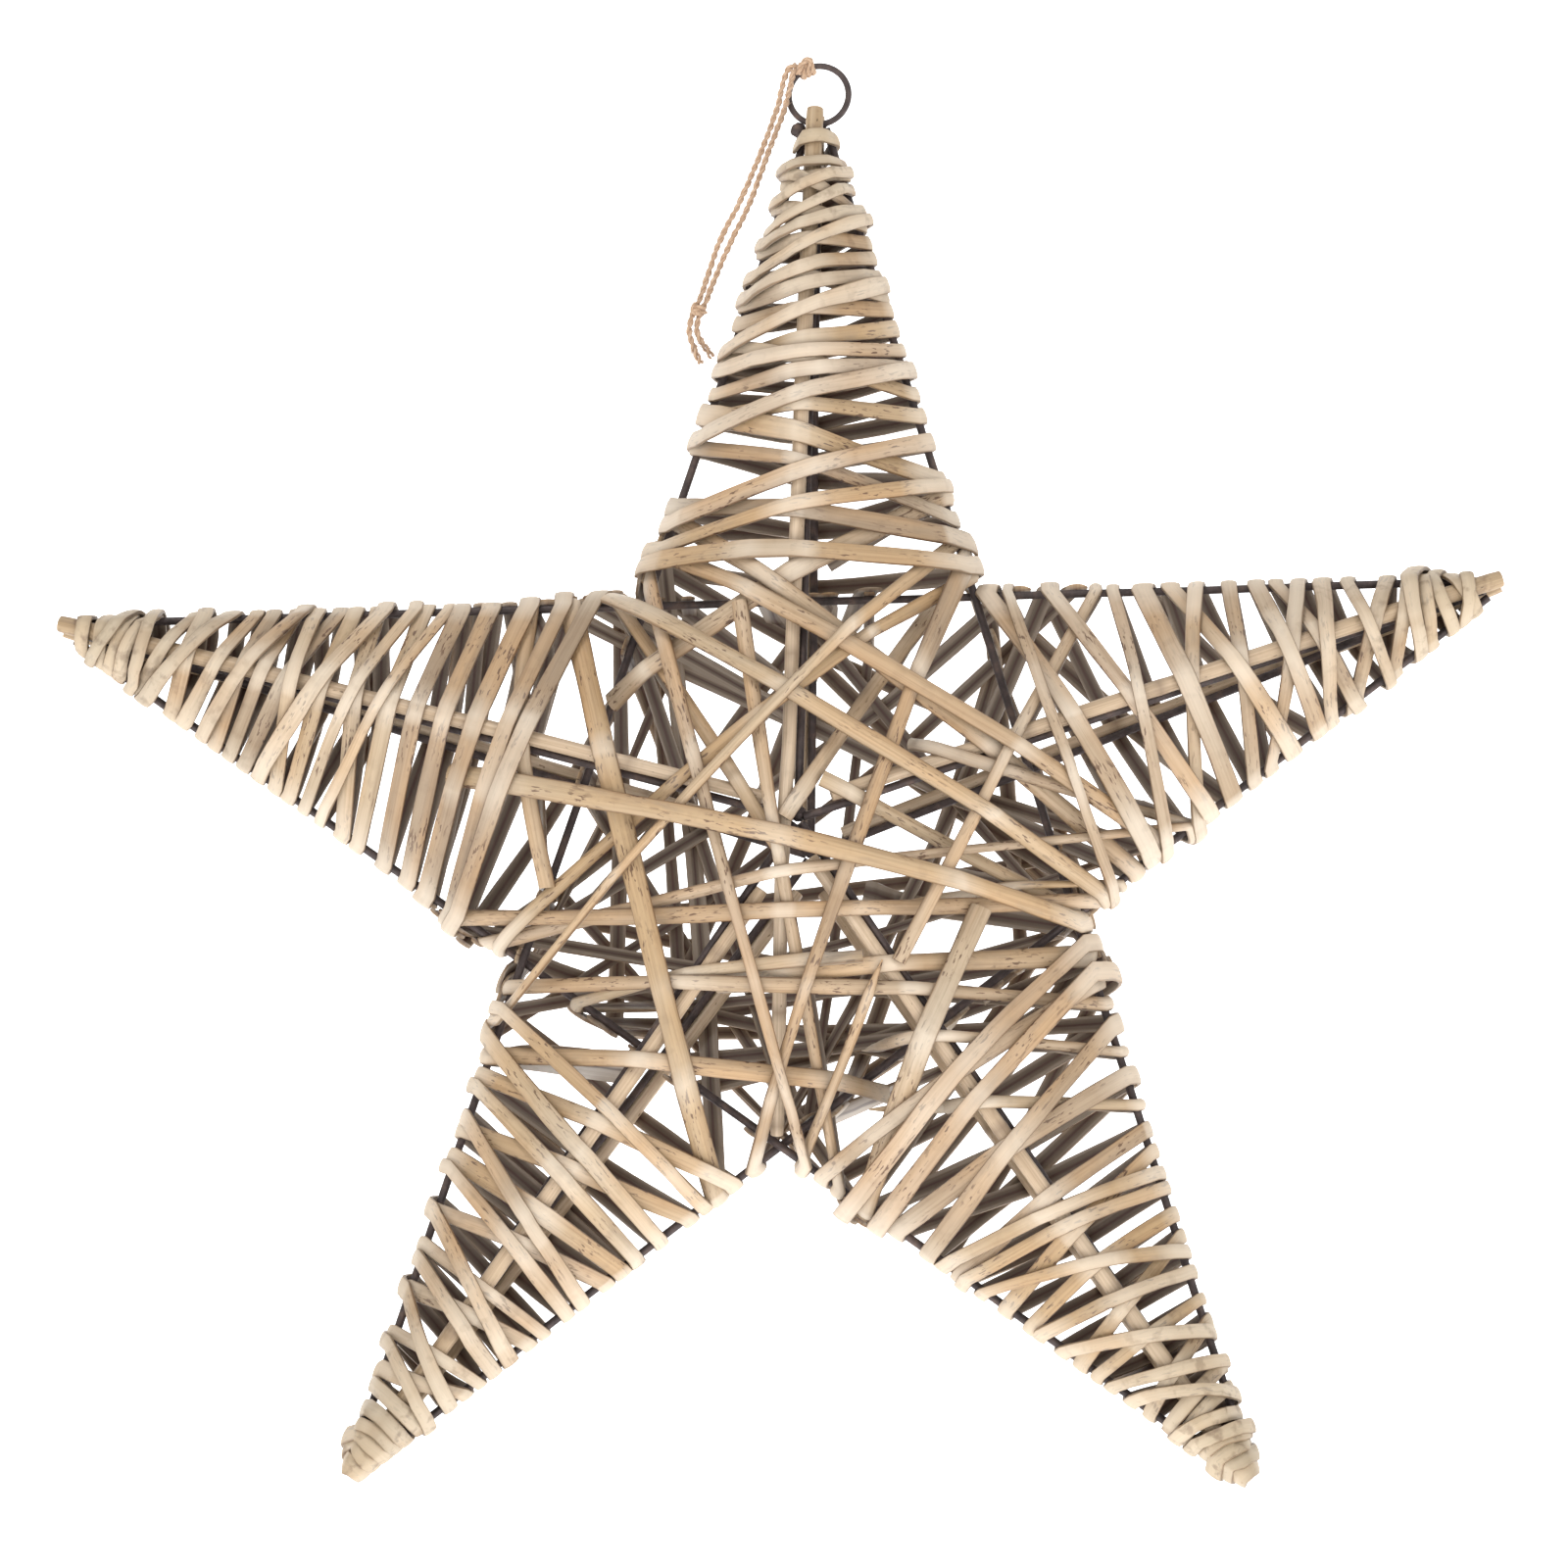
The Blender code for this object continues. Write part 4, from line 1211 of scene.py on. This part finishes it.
def need_below(face, plans, side, start, end):
    """Heights that one half of a run has to clear, from the map."""
    need = np.full(len(plans[0]), BARE)
    for across in ACROSS:
        spots = plans[0] * (1 - across) + plans[side] * across
        need = np.maximum(need, heights[face][cells(spots)])
    need += GAP
    for place, index in ((start, 0), (end, -1)):
        if place["wire"] is None and len(place["rise"]):
            need[index] = place["rise"][0]
    return need


def over_wire(face, place, sine, near):
    """Heights over the wire at the end of a run, by the distance from that end."""
    off = np.minimum(near * sine / place["radius"], 1.0)
    height = face * place["depth"] + place["radius"] * np.sqrt(1 - off**2)
    return np.where(off < 1, height, BARE)


def round_wire(face, place, sine, edge, sign):
    """An edge's way round its wire: distances beyond the run's end, heights and plan places."""
    radius = place["radius"]
    outs = -radius * np.sin(TURN_ANGLES) / max(sine, SLANT_LIMIT)
    ups = face * place["depth"] + radius * np.cos(TURN_ANGLES)
    drift = WIRE_WAYS[place["wire"]] * place["slope"] * radius * sign
    plan = edge + np.outer(radius * np.sin(TURN_ANGLES), place["out"]) + np.outer(TURN_ANGLES, drift)
    return outs, ups, plan


print("rows of heights under each half:", len(ACROSS))

# %% [markdown]
# ## One run across the star
#
# A run's two edges are worked out one by one. Each is pulled taut over its heights, so the split tilts
# by itself where it crosses a ridge at a slant, as a real one does. A simulated rod could find its rest
# too, but the hull gives it in one step, and gives the same one each time.

# %% Splits: one run across the star
BEND_RADIUS = 0.0050
END_CLEAR = 0.004
NOT_BARE = 0.002


def lay_run(face, start, end, bow):
    """Both bottom edges of a run across the star, as rows of points."""
    run, places, plans = plan_run(face, start, end, bow)
    length = places[-1]
    low = END_CLEAR if start["wire"] is not None else 0.0
    high = length - END_CLEAR if end["wire"] is not None else length
    edges = []
    for side in (-1, 1):
        need = need_below(face, plans, side, start, end)
        need = rounded_need(places, need, BEND_RADIUS, low, high)
        parts = [(places, need, plans[side])]
        for place, first in ((start, True), (end, False)):
            if place["wire"] is None:
                continue
            sine = abs(turn(run, WIRE_WAYS[place["wire"]]))
            near = places if first else length - places
            np.maximum(need, over_wire(face, place, sine, near), out=need)
            edge, sign = (plans[side][0], -1) if first else (plans[side][-1], 1)
            outs, ups, plan = round_wire(face, place, sine, edge, sign)
            if first:
                parts.insert(0, (outs, ups, plan))
            else:
                parts.append((length - outs[::-1], ups[::-1], plan[::-1]))
        row_places, row_need, row_plan = (np.concatenate(rows) for rows in zip(*parts))
        real = row_need > BARE + NOT_BARE
        hull = taut(row_places[real], row_need[real])
        rise = np.interp(row_places, hull[:, 0], hull[:, 1])
        edges.append(np.column_stack([row_plan[:, 0], face * rise, row_plan[:, 1]]))
    return edges


# %% [markdown]
# ## The section of a split
#
# A split is flat beneath and rounded above. The body rods look rounder in the picture than the wound
# ones, so they have a section of their own. A few places along a straight run are enough, and more are
# kept where it bends, which keeps the mesh small.

# %% Splits: section and places
SECTION_CROSS = np.array([-1.0, -0.93, -0.50, 0.0, 0.50, 0.93, 1.0, 0.93, -0.93])
ROUND_RISE = np.array([0.26, 0.55, 0.90, 1.0, 0.90, 0.55, 0.26, 0.0, 0.0])
FLAT_RISE = np.array([0.38, 0.74, 0.95, 1.0, 0.95, 0.74, 0.38, 0.0, 0.0])
SIDES = len(SECTION_CROSS)
MOST_TURN, MOST_STEP, LEAST_STEP = math.radians(8), 0.010, 0.0005


def thin_out(middle):
    """Which places to keep: more where the line bends, few where it is straight."""
    ways = np.diff(middle, axis=0)
    lengths = np.maximum(np.linalg.norm(ways, axis=1), 1e-9)
    ways = ways / lengths[:, None]
    kept, way, travelled = [0], ways[0], 0.0
    for index in range(1, len(middle) - 1):
        travelled += lengths[index - 1]
        turned = math.acos(float(np.clip(way @ ways[index], -1, 1)))
        if travelled > MOST_STEP or (turned > MOST_TURN and travelled > LEAST_STEP):
            kept.append(index)
            way, travelled = ways[index], 0.0
    return kept + [len(middle) - 1]


def outward(left, right):
    """The direction out of a split, from its two edges."""
    out = np.cross(right - left, np.gradient((left + right) / 2, axis=0))
    return out / np.maximum(np.linalg.norm(out, axis=1), 1e-9)[:, None]


print("points round a split:", SIDES)

# %% [markdown]
# ## Kinks and swellings
#
# Willow's skin cracks and turns pale where it is kinked, and the finish paints a highlight there as well,
# so the sharpness of each bend is kept as a measure. A split's width swells and shrinks by a few
# hundredths, and one that is cut to a point starts thin. Two waves of different lengths do for the
# swelling, since nothing in it repeats by eye.

# %% Splits: kinks and swellings
KINK_GAIN, KINK_LOSS = 3.4, 0.35
LONG_SWELL, SHORT_SWELL = 0.021, 0.008
POINT_SHARE, POINT_LENGTH = 0.12, 0.016


def kinks(middle):
    """How sharply a split bends at each place along it, from 0 to 1."""
    ways = np.diff(middle, axis=0)
    ways /= np.maximum(np.linalg.norm(ways, axis=1), 1e-9)[:, None]
    bend = np.zeros(len(middle))
    bend[1:-1] = np.arccos(np.clip((ways[1:] * ways[:-1]).sum(axis=1), -1, 1))
    bend = np.convolve(bend, (0.5, 1.0, 0.5), "same")
    return np.clip(bend * KINK_GAIN - KINK_LOSS, 0.0, 1.0)


def swelling(run, phase, pointed):
    """A split's width along it, as a share of its usual width."""
    swell = 1 + 0.05 * np.sin(run / LONG_SWELL + phase) + 0.03 * np.sin(run / SHORT_SWELL + 2 * phase)
    if pointed:
        swell *= np.clip(POINT_SHARE + run / POINT_LENGTH, 0.0, 1.0)
    return swell


print("swellings: every %.0f and %.0f mm" % (6283 * LONG_SWELL, 6283 * SHORT_SWELL))

# %% [markdown]
# ## From runs to a mesh
#
# One length of willow is laid run by run, front and back in turn, and raises the maps under whatever
# comes later. Then its edges become one mesh with its measures. A curve with a bevel can't do this,
# because a split's two edges lie at heights of their own.

# %% Splits: laid and drawn
LAY_WOBBLE = 0.0007
USUAL_HALF = 0.0033


class Split:
    """One length of willow: the turns that it goes through, and its edges once it is laid."""

    def __init__(self, turns, thickness=SPLIT_THICKNESS, shade=None, rises=FLAT_RISE, bow=0.0,
                 pointed=False):
        self.turns, self.thickness, self.rises = turns, thickness, rises
        self.bow, self.pointed = bow, pointed
        self.shade = RNG.uniform() if shade is None else shade
        self.lefts, self.rights = [], []

    def lay(self, face=FRONT):
        """Lay each run in turn, front and back, and raise the map under it."""
        for here, there in zip(self.turns, self.turns[1:]):
            left, right = lay_run(face, here, there, self.bow + RNG.normal(0.0, LAY_WOBBLE))
            out = outward(left, right)
            for cross in np.linspace(-0.92, 0.92, 7):
                surface = (left + right) / 2 + (right - left) / 2 * cross + out * self.thickness
                raise_map(surface)
                raise_map((surface[1:] + surface[:-1]) / 2)
            skip = 1 if self.lefts else 0
            self.lefts.append(left[skip:])
            self.rights.append(right[skip:])
            face = -face
        return self

    def draw(self, shape):
        """Add the split's mesh to a shape."""
        left, right = np.concatenate(self.lefts), np.concatenate(self.rights)
        kept = thin_out((left + right) / 2)
        left, right = left[kept], right[kept]
        out, middle = outward(left, right), (left + right) / 2
        count = len(middle)
        run = run_along(middle)
        phase = RNG.uniform(0, 6.3)
        half = (right - left) / 2 * swelling(run, phase, self.pointed)[:, None]
        wide = np.linalg.norm(half, axis=1)
        points = middle[:, None] + half[:, None] * SECTION_CROSS[None, :, None]
        points = points + out[:, None] * (self.thickness * self.rises)[None, :, None]
        last = (count - 1) * SIDES
        faces = [tuple(range(SIDES)), tuple(range(last, last + SIDES))[::-1]]
        faces += [(a, d, c, b) for a, b, c, d in ring_faces(count, SIDES)]
        shape.add(
            points.reshape(-1, 3),
            faces,
            along=np.repeat(run + phase, SIDES),
            across=(wide[:, None] * SECTION_CROSS[None, :] / USUAL_HALF).reshape(-1),
            shade=np.full(count * SIDES, self.shade),
            bend=np.repeat(kinks(middle), SIDES),
            inner=np.tile(self.rises < 0.1, count).astype(float),
            edge=np.tile(np.abs(SECTION_CROSS), count),
        )


def turns_through(anchors, start=None, end=None):
    """Turns round outline wires at these (wire, along, width) places, between two cut ends or none."""
    plans = [None if start is None else start[:2]]
    plans += [wire_point(wire, along) for wire, along, _ in anchors] + [end]
    turns = []
    for before, (wire, along, width), after in zip(plans, anchors, plans[2:]):
        turns.append(turn_round(wire, along, before, after, width))
    if start is not None:
        turns.insert(0, free_end(start, anchors[0][2]))
    if end is not None:
        turns.append(free_end(end, anchors[-1][2]))
    return turns


# %% [markdown]
# ## The rods across the body
#
# Splits run to and fro across the body, over the peak in front and again behind, and some of them
# stop there, cut square or to a point. They are listed in the order in which they were laid, since
# each one rests on those before it: the solid's number, the width, the turns as a wire and a place
# along it, the cut end from the middle if there is one, with its height where nothing lies under it,
# and a bow. All are in millimetres. Those without a number are ends that have no solid of their own.

# %% The list of body rods
BODY_BROAD = 1.08
BODY_THICKNESS = 0.0027
BODY_RODS = (
    (None, 6.2, ((4, 226),), (-3.7, -8.2)),
    (None, 6.4, ((4, 360),), (-1.2, 3.3)),
    (None, 6.4, ((0, 348),), (13.8, 20.1)),
    (1, 8.0, ((0, 166),), (-75.6, 61.3)),
    (2, 7.2, ((3, 410), (1, 186), (4, 214)), None),
    (None, 5.3, ((1, 155),), (48.7, 36.2)),
    (3, 6.0, ((2, 197),), (-20.5, 96.0)),
    (None, 5.7, ((0, 364), (4, 300)), (-30.9, -60.0)),
    (4, 7.0, ((3, 172),), (38.5, -102.0)),
    (5, 5.5, ((2, 376), (1, 158), (3, 190)), None),
    (None, 6.3, ((2, 395), (1, 202)), None, -8.0),
    (None, 5.7, ((2, 330), (0, 366)), (30.0, -52.0)),
    (6, 5.6, ((3, 201), (0, 388), (2, 392)), None),
    (None, 4.5, ((0, 409),), (27.2, -83.8)),
    (None, 4.2, ((1, 194),), (47.9, -23.4)),
    (None, 4.9, ((0, 432),), (31.7, -112.1)),
    (7, 5.5, ((0, 201), (2, 370), (4, 392)), None),
    (8, 5.2, ((4, 424),), (44.5, -54.5)),
    (None, 8.5, ((2, 183), (0, 420)), (77.5, -30.4)),
    (None, 4.1, ((2, 216), (4, 330)), (38.2, -53.8)),
    (9, 7.0, ((0, 192), (1, 384), (4, 404)), None),
    (10, 6.0, ((3, 384), (2, 214), (4, 226)), None),
    (11, 9.0, ((4, 205), (1, 404), (3, 398)), None),
    (12, 6.8, ((3, 395), (1, 171), (4, 196)), None),
    (13, 6.8, ((4, 218), (1, 202), (3, 384)), None),
    (14, 5.6, ((0, 184), (3, 186), (4, 416)), None),
    (None, 6.4, ((4, 189),), (-100, -20), 6.0),
    (15, 8.4, ((0, 353.2),), (-141, 27.7, 25)),
)
print("body rods listed:", len(BODY_RODS))

# %% [markdown]
# ## Laying the body rods
#
# A rod with one turn ends in the body in front and is cut off again a third of the way back behind.
# Each numbered rod replaces its solid. The rest are gathered in one piece.

# %% Body rods
SHORT_RETURN = 0.35
POINTED_BELOW = 5
loose = Shape()
for number, width, anchors, cut_end, *bow in BODY_RODS:
    anchors = [(wire, along * MM, width * MM * BODY_BROAD) for wire, along in anchors]
    start = None if cut_end is None else np.array(cut_end) * MM
    if start is not None:
        start[:2] += MIDDLE
    end = None
    if len(anchors) == 1:
        turned = wire_point(*anchors[0][:2])
        end = turned + (start[:2] - turned) * SHORT_RETURN
    turns = turns_through(anchors, start, end)
    pointed = number is None and width < POINTED_BELOW
    bow = bow[0] * MM if bow else 0.0
    split = Split(turns, BODY_THICKNESS, rises=ROUND_RISE, bow=bow, pointed=pointed).lay()
    shape = loose if number is None else Shape()
    split.draw(shape)
    if number is not None:
        name = "body_rod_%d" % number
        make_piece("willow_" + name, shape, SPLIT_WILLOW, [name])
make_piece("willow_body_rod_ends", loose, SPLIT_WILLOW, [])
print("body rods laid:", len(BODY_RODS))

# %% [markdown]
# ## The lacing behind
#
# Behind, the body is laced as densely as in front, but the picture shows it only as dark bars in the
# gaps. Three rods lie where such a bar is plain to see. The others aren't measured: each goes from a
# place near one inner corner to a place near another, on two wires that are not the same.

# %% Rods across the back
BACK_RNG = np.random.default_rng(19)
BACK_REACH = (0.178, 0.402)
BACK_WIDTHS = (0.0050, 0.0076)
SHORTEST_BACK_ROD = 0.120
SEEN_RODS = (
    ((2, 0.405, 0.0064), (4, 0.168, 0.0064)),
    ((2, 0.388, 0.0064), (4, 0.205, 0.0064)),
    ((3, 0.232, 0.0064), (4, 0.180, 0.0064)),
)
OTHER_RODS = 26
back_lacing = Shape()


def lace_behind(ends):
    Split(turns_through(ends), shade=BACK_RNG.uniform()).lay(BACK).draw(back_lacing)


for ends in SEEN_RODS:
    lace_behind(ends)
laid = 0
while laid < OTHER_RODS:
    ends = []
    for wire in BACK_RNG.choice(5, 2, replace=False):
        ends.append((int(wire), BACK_RNG.uniform(*BACK_REACH), BACK_RNG.uniform(*BACK_WIDTHS)))
    if np.linalg.norm(wire_point(*ends[0][:2]) - wire_point(*ends[1][:2])) >= SHORTEST_BACK_ROD:
        lace_behind(ends)
        laid += 1
make_piece("willow_back_lacing", back_lacing, SPLIT_WILLOW, [])
print("rods laced behind:", len(SEEN_RODS) + laid)

# %% [markdown]
# ## The windings round the arms
#
# Each arm was wound twice, from its tip towards the body, and the second winding leans the other way.
# A run over the front is listed by where it meets the arm's two edges, as distances from the tip in
# millimetres, and by its width. An even pitch would be shorter to write, but the real one was wound by
# eye, and the gaps that it leaves are half of how the star looks.

# %% Where the windings cross the front
WINDINGS = {
    "under_winding_top": (
        (6.4, 8.8, 5.3), (21.9, 24.9, 4.9), (39.3, 22.3, 4.9), (45.2, 37.6, 4.9), (52.8, 56.8, 5.3),
        (77, 68.2, 4.9), (68.3, 80.8, 5.7), (82.8, 88.7, 6.1), (91, 106.3, 6.5), (120.7, 99.5, 5.3),
        (130.1, 131.3, 6.1), (159.7, 129.8, 8.1), (176.4, 144.2, 5.7), (189.5, 171.2, 6.9),
    ),
    "over_winding_top": (
        (18, 21.7, 4.1), (21, 35.9, 4.5), (28.8, 48.3, 4.5), (39.3, 54.4, 5.3), (42.9, 70.1, 4.9),
        (59.5, 79, 5.7), (71.8, 103.1, 6.1), (100.7, 110.6, 5.7), (108.7, 120.5, 5.7),
        (110.2, 142.2, 6.5), (141.6, 179.5, 6.9), (161.9, 192.5, 5.7), (198, 200, 6.9),
    ),
    "under_winding_right": (
        (8, 14, 5.3), (20, 18, 5.3), (31, 24, 5.3), (50.9, 28.2, 6.1), (72.6, 38.8, 6.5),
        (70.7, 85.1, 5.7), (115.7, 75.3, 5.7), (124.1, 104.6, 5.7), (103.9, 128.9, 6.9),
        (156, 117.6, 5.3), (147, 178.8, 6.5), (172.2, 152.5, 4.5),
    ),
    "over_winding_right": (
        (14.4, 6.3, 5.3), (37.5, 25.7, 5.3), (54.3, 55, 4.9), (83.9, 65.6, 6.1), (90.3, 93.2, 6.5),
        (135.6, 139.5, 7.3), (177, 203.8, 7.3), (201, 195.8, 4.1),
    ),
    "under_winding_lower_right": (
        (-5, -2.5, 6.4), (0.5, 2, 6.0), (5, 7, 6.5), (12, 11, 5.3), (22, 30, 5.3), (30, 39.2, 5.7),
        (39.8, 58.2, 5.7), (66.1, 67.7, 4.9), (74.2, 94.8, 5.7), (100, 104.1, 5.7), (112.1, 131.4, 6.1),
        (135.8, 140.7, 6.1), (167.3, 163.4, 7.3), (151.3, 186.4, 6.9), (205, 205.4, 6.1),
    ),
    "over_winding_lower_right": (
        (18.6, 12.4, 5.3), (26, 18.9, 5.3), (49.5, 26.1, 5.3), (59.2, 40.7, 5.3), (83.8, 53.4, 5.7),
        (95.2, 79.3, 5.3), (124.6, 87.8, 5.3), (133.1, 115.4, 5.3), (144.2, 121.8, 5.3),
        (175, 205.7, 6.9), (189.7, 220.3, 6.9),
    ),
    "under_winding_lower_left": (
        (-2.5, -5, 6.0), (1.5, 0.5, 6.0), (5, 7, 6.1), (11, 12, 5.3), (18.5, 17.4, 6.1),
        (34.2, 48.4, 5.3), (51.7, 55.8, 4.9), (69.9, 81.4, 6.1), (90, 88.8, 5.1), (103.9, 121.5, 6.1),
        (127.4, 129.6, 7.3), (139.5, 164.9, 6.7), (162.9, 187.5, 6.7), (191.7, 172.9, 5.3),
    ),
    "over_winding_lower_left": (
        (29.3, 25.2, 6.1), (48.2, 27.9, 5.3), (71.7, 40, 6.1), (84.1, 63, 6.1), (105.7, 71, 6.5),
        (123.3, 101, 5.7), (145, 108.7, 6.1), (158.4, 136.9, 6.1), (182.3, 149.4, 6.1),
    ),
    "under_winding_left": (
        (4, 6.5, 5.3), (12, 14, 5.3), (22, 19, 5.3), (31.4, 24.2, 5.3), (49.2, 34.8, 5.7),
        (53.2, 51.7, 6.5), (74.8, 57.6, 5.7), (81.7, 74.3, 5.7), (91.4, 81.7, 5.7), (109.7, 89.3, 6.1),
        (100.3, 105.8, 5.7), (116.2, 112.4, 6.1), (125.5, 140, 6.5), (145.8, 147.7, 6.5),
    ),
    "over_winding_left": (
        (22.8, 10.5, 4.5), (32.5, 31, 4.9), (64.6, 38, 6.1), (95.5, 67.6, 5.7), (129.1, 97.1, 6.5),
        (141.4, 120.6, 4.9), (155.5, 129.1, 4.5), (160.4, 161.5, 6.5), (172.7, 173.6, 6.9),
        (189, 183.2, 7.3), (203.2, 196.3, 6.5), (219, 199.5, 6.5),
    ),
}
print("runs listed:", sum(len(runs) for runs in WINDINGS.values()))

# %% [markdown]
# ## Laying the windings
#
# The run behind joins the far end of one run to the near end of the next. A split is used up after a
# few turns, so a new one with another shade goes on from there. The left arm's windings are two solids
# each, and one dressed piece replaces both.

# %% Laying the windings
WINDING_BROAD = 1.16
SPLIT_TURNS = (4, 6, 8)
PARTS = ("", "_tip", "_base")


def winding_anchors(arm, runs):
    """Turns of a winding on the two edges of an arm, each as its wire, place and width."""
    clockwise, counter = arm, (arm + 3) % 5
    lean = sum(other - one for one, other, _ in runs)
    anchors = []
    for one, other, width in runs:
        broad = width * MM * WINDING_BROAD
        pair = [(clockwise, one * MM, broad), (counter, WIRE_LENGTHS[counter] - other * MM, broad)]
        anchors += pair if lean > 0 else pair[::-1]
    return anchors


for kind in ("under", "over"):
    for arm, arm_name in enumerate(ARM_NAMES):
        name = "%s_winding_%s" % (kind, arm_name)
        turns = turns_through(winding_anchors(arm, WINDINGS[name]))
        shape = Shape()
        begin = 0
        while begin < len(turns) - 1:
            end = begin + int(RNG.choice(SPLIT_TURNS))
            end = len(turns) if end > len(turns) - 3 else end + 1
            Split(turns[begin:end]).lay().draw(shape)
            begin = end - 1
        nodes = [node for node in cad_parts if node.startswith(name) and node[len(name):] in PARTS]
        make_piece("willow_" + name, shape, SPLIT_WILLOW, nodes)
print("windings laid:", len(WINDINGS))

# %% [markdown]
# ## Floor and backdrop
#
# The picture has a plain white ground without a shadow. One sheet makes the floor and, behind a round
# cove, the wall. It gives off most of its own light, so that it stays white and even whatever the
# lamps do, and it throws light on the star from behind and below.

# %% Paper
FLOOR_Z, WALL_Y, COVE = -1.15, 3.6, 0.5
PAPER_REACH = 9.0
paper, _, shader = new_finish("Pale_paper", 0.9)
shader.inputs["Base Color"].default_value = (0.92, 0.92, 0.92, 1.0)
shader.inputs["Emission Color"].default_value = (1.0, 1.0, 1.0, 1.0)
shader.inputs["Emission Strength"].default_value = 0.93
profile = [(-PAPER_REACH, FLOOR_Z)]
for degrees in range(0, 91, 10):
    angle = math.radians(degrees)
    profile.append((WALL_Y - COVE + COVE * math.sin(angle), FLOOR_Z + COVE - COVE * math.cos(angle)))
profile.append((WALL_Y, PAPER_REACH))
points = [(x, y, z) for y, z in profile for x in (-PAPER_REACH, PAPER_REACH)]
faces = [(i, i + 1, i + 3, i + 2) for i in range(0, len(points) - 2, 2)]
mesh = bpy.data.meshes.new("floor_and_backdrop")
mesh.from_pydata(points, [], faces)
mesh.materials.append(paper)
put("floor_and_backdrop", mesh)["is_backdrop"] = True
print("paper: %d faces" % len(faces))

# %% [markdown]
# ## Soft light
#
# A large lamp up on the left makes the splits' right and lower sides a little darker, as in the
# picture, and a broad weak one from the right opens the shadows. The rest is an even white world. The
# inside of the star is dark partly because little light gets in between the splits, and partly because
# the splits' inner sides are painted dark.

# %% Lamps and world
LIT = Vector((0, 0, -0.33))
WORLD_STRENGTH = 0.60


def soft_light(name, place, size, power):
    data = bpy.data.lights.new(name, "AREA")
    data.shape = "RECTANGLE"
    data.size = data.size_y = size
    data.energy = power
    light = put(name, data)
    light.location = place
    light.rotation_euler = (LIT - Vector(place)).to_track_quat("-Z", "Y").to_euler()
    print("%s: %g W" % (name, power))


soft_light("key_light", (-0.75, -1.7, 1.9), 0.8, 22)
soft_light("fill_light", (1.7, -2.2, 0.3), 1.6, 9)
bpy.context.scene.view_settings.view_transform = "Standard"
world = bpy.data.worlds.new("world")
bpy.context.scene.world = world
world.use_nodes = True
background = world.node_tree.nodes["Background"]
background.inputs["Color"].default_value = (1.0, 1.0, 1.0, 1.0)
background.inputs["Strength"].default_value = WORLD_STRENGTH

# %% [markdown]
# ## Sizes
#
# The dressed star should fill the solids' box and hardly pass it. The dressed star's box is printed,
# axis by axis.

# %% Sizes
new_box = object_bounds()
for axis, (low, high) in enumerate(zip(*new_box)):
    print("xyz"[axis], "%.1f to %.1f mm" % (low * 1000, high * 1000))
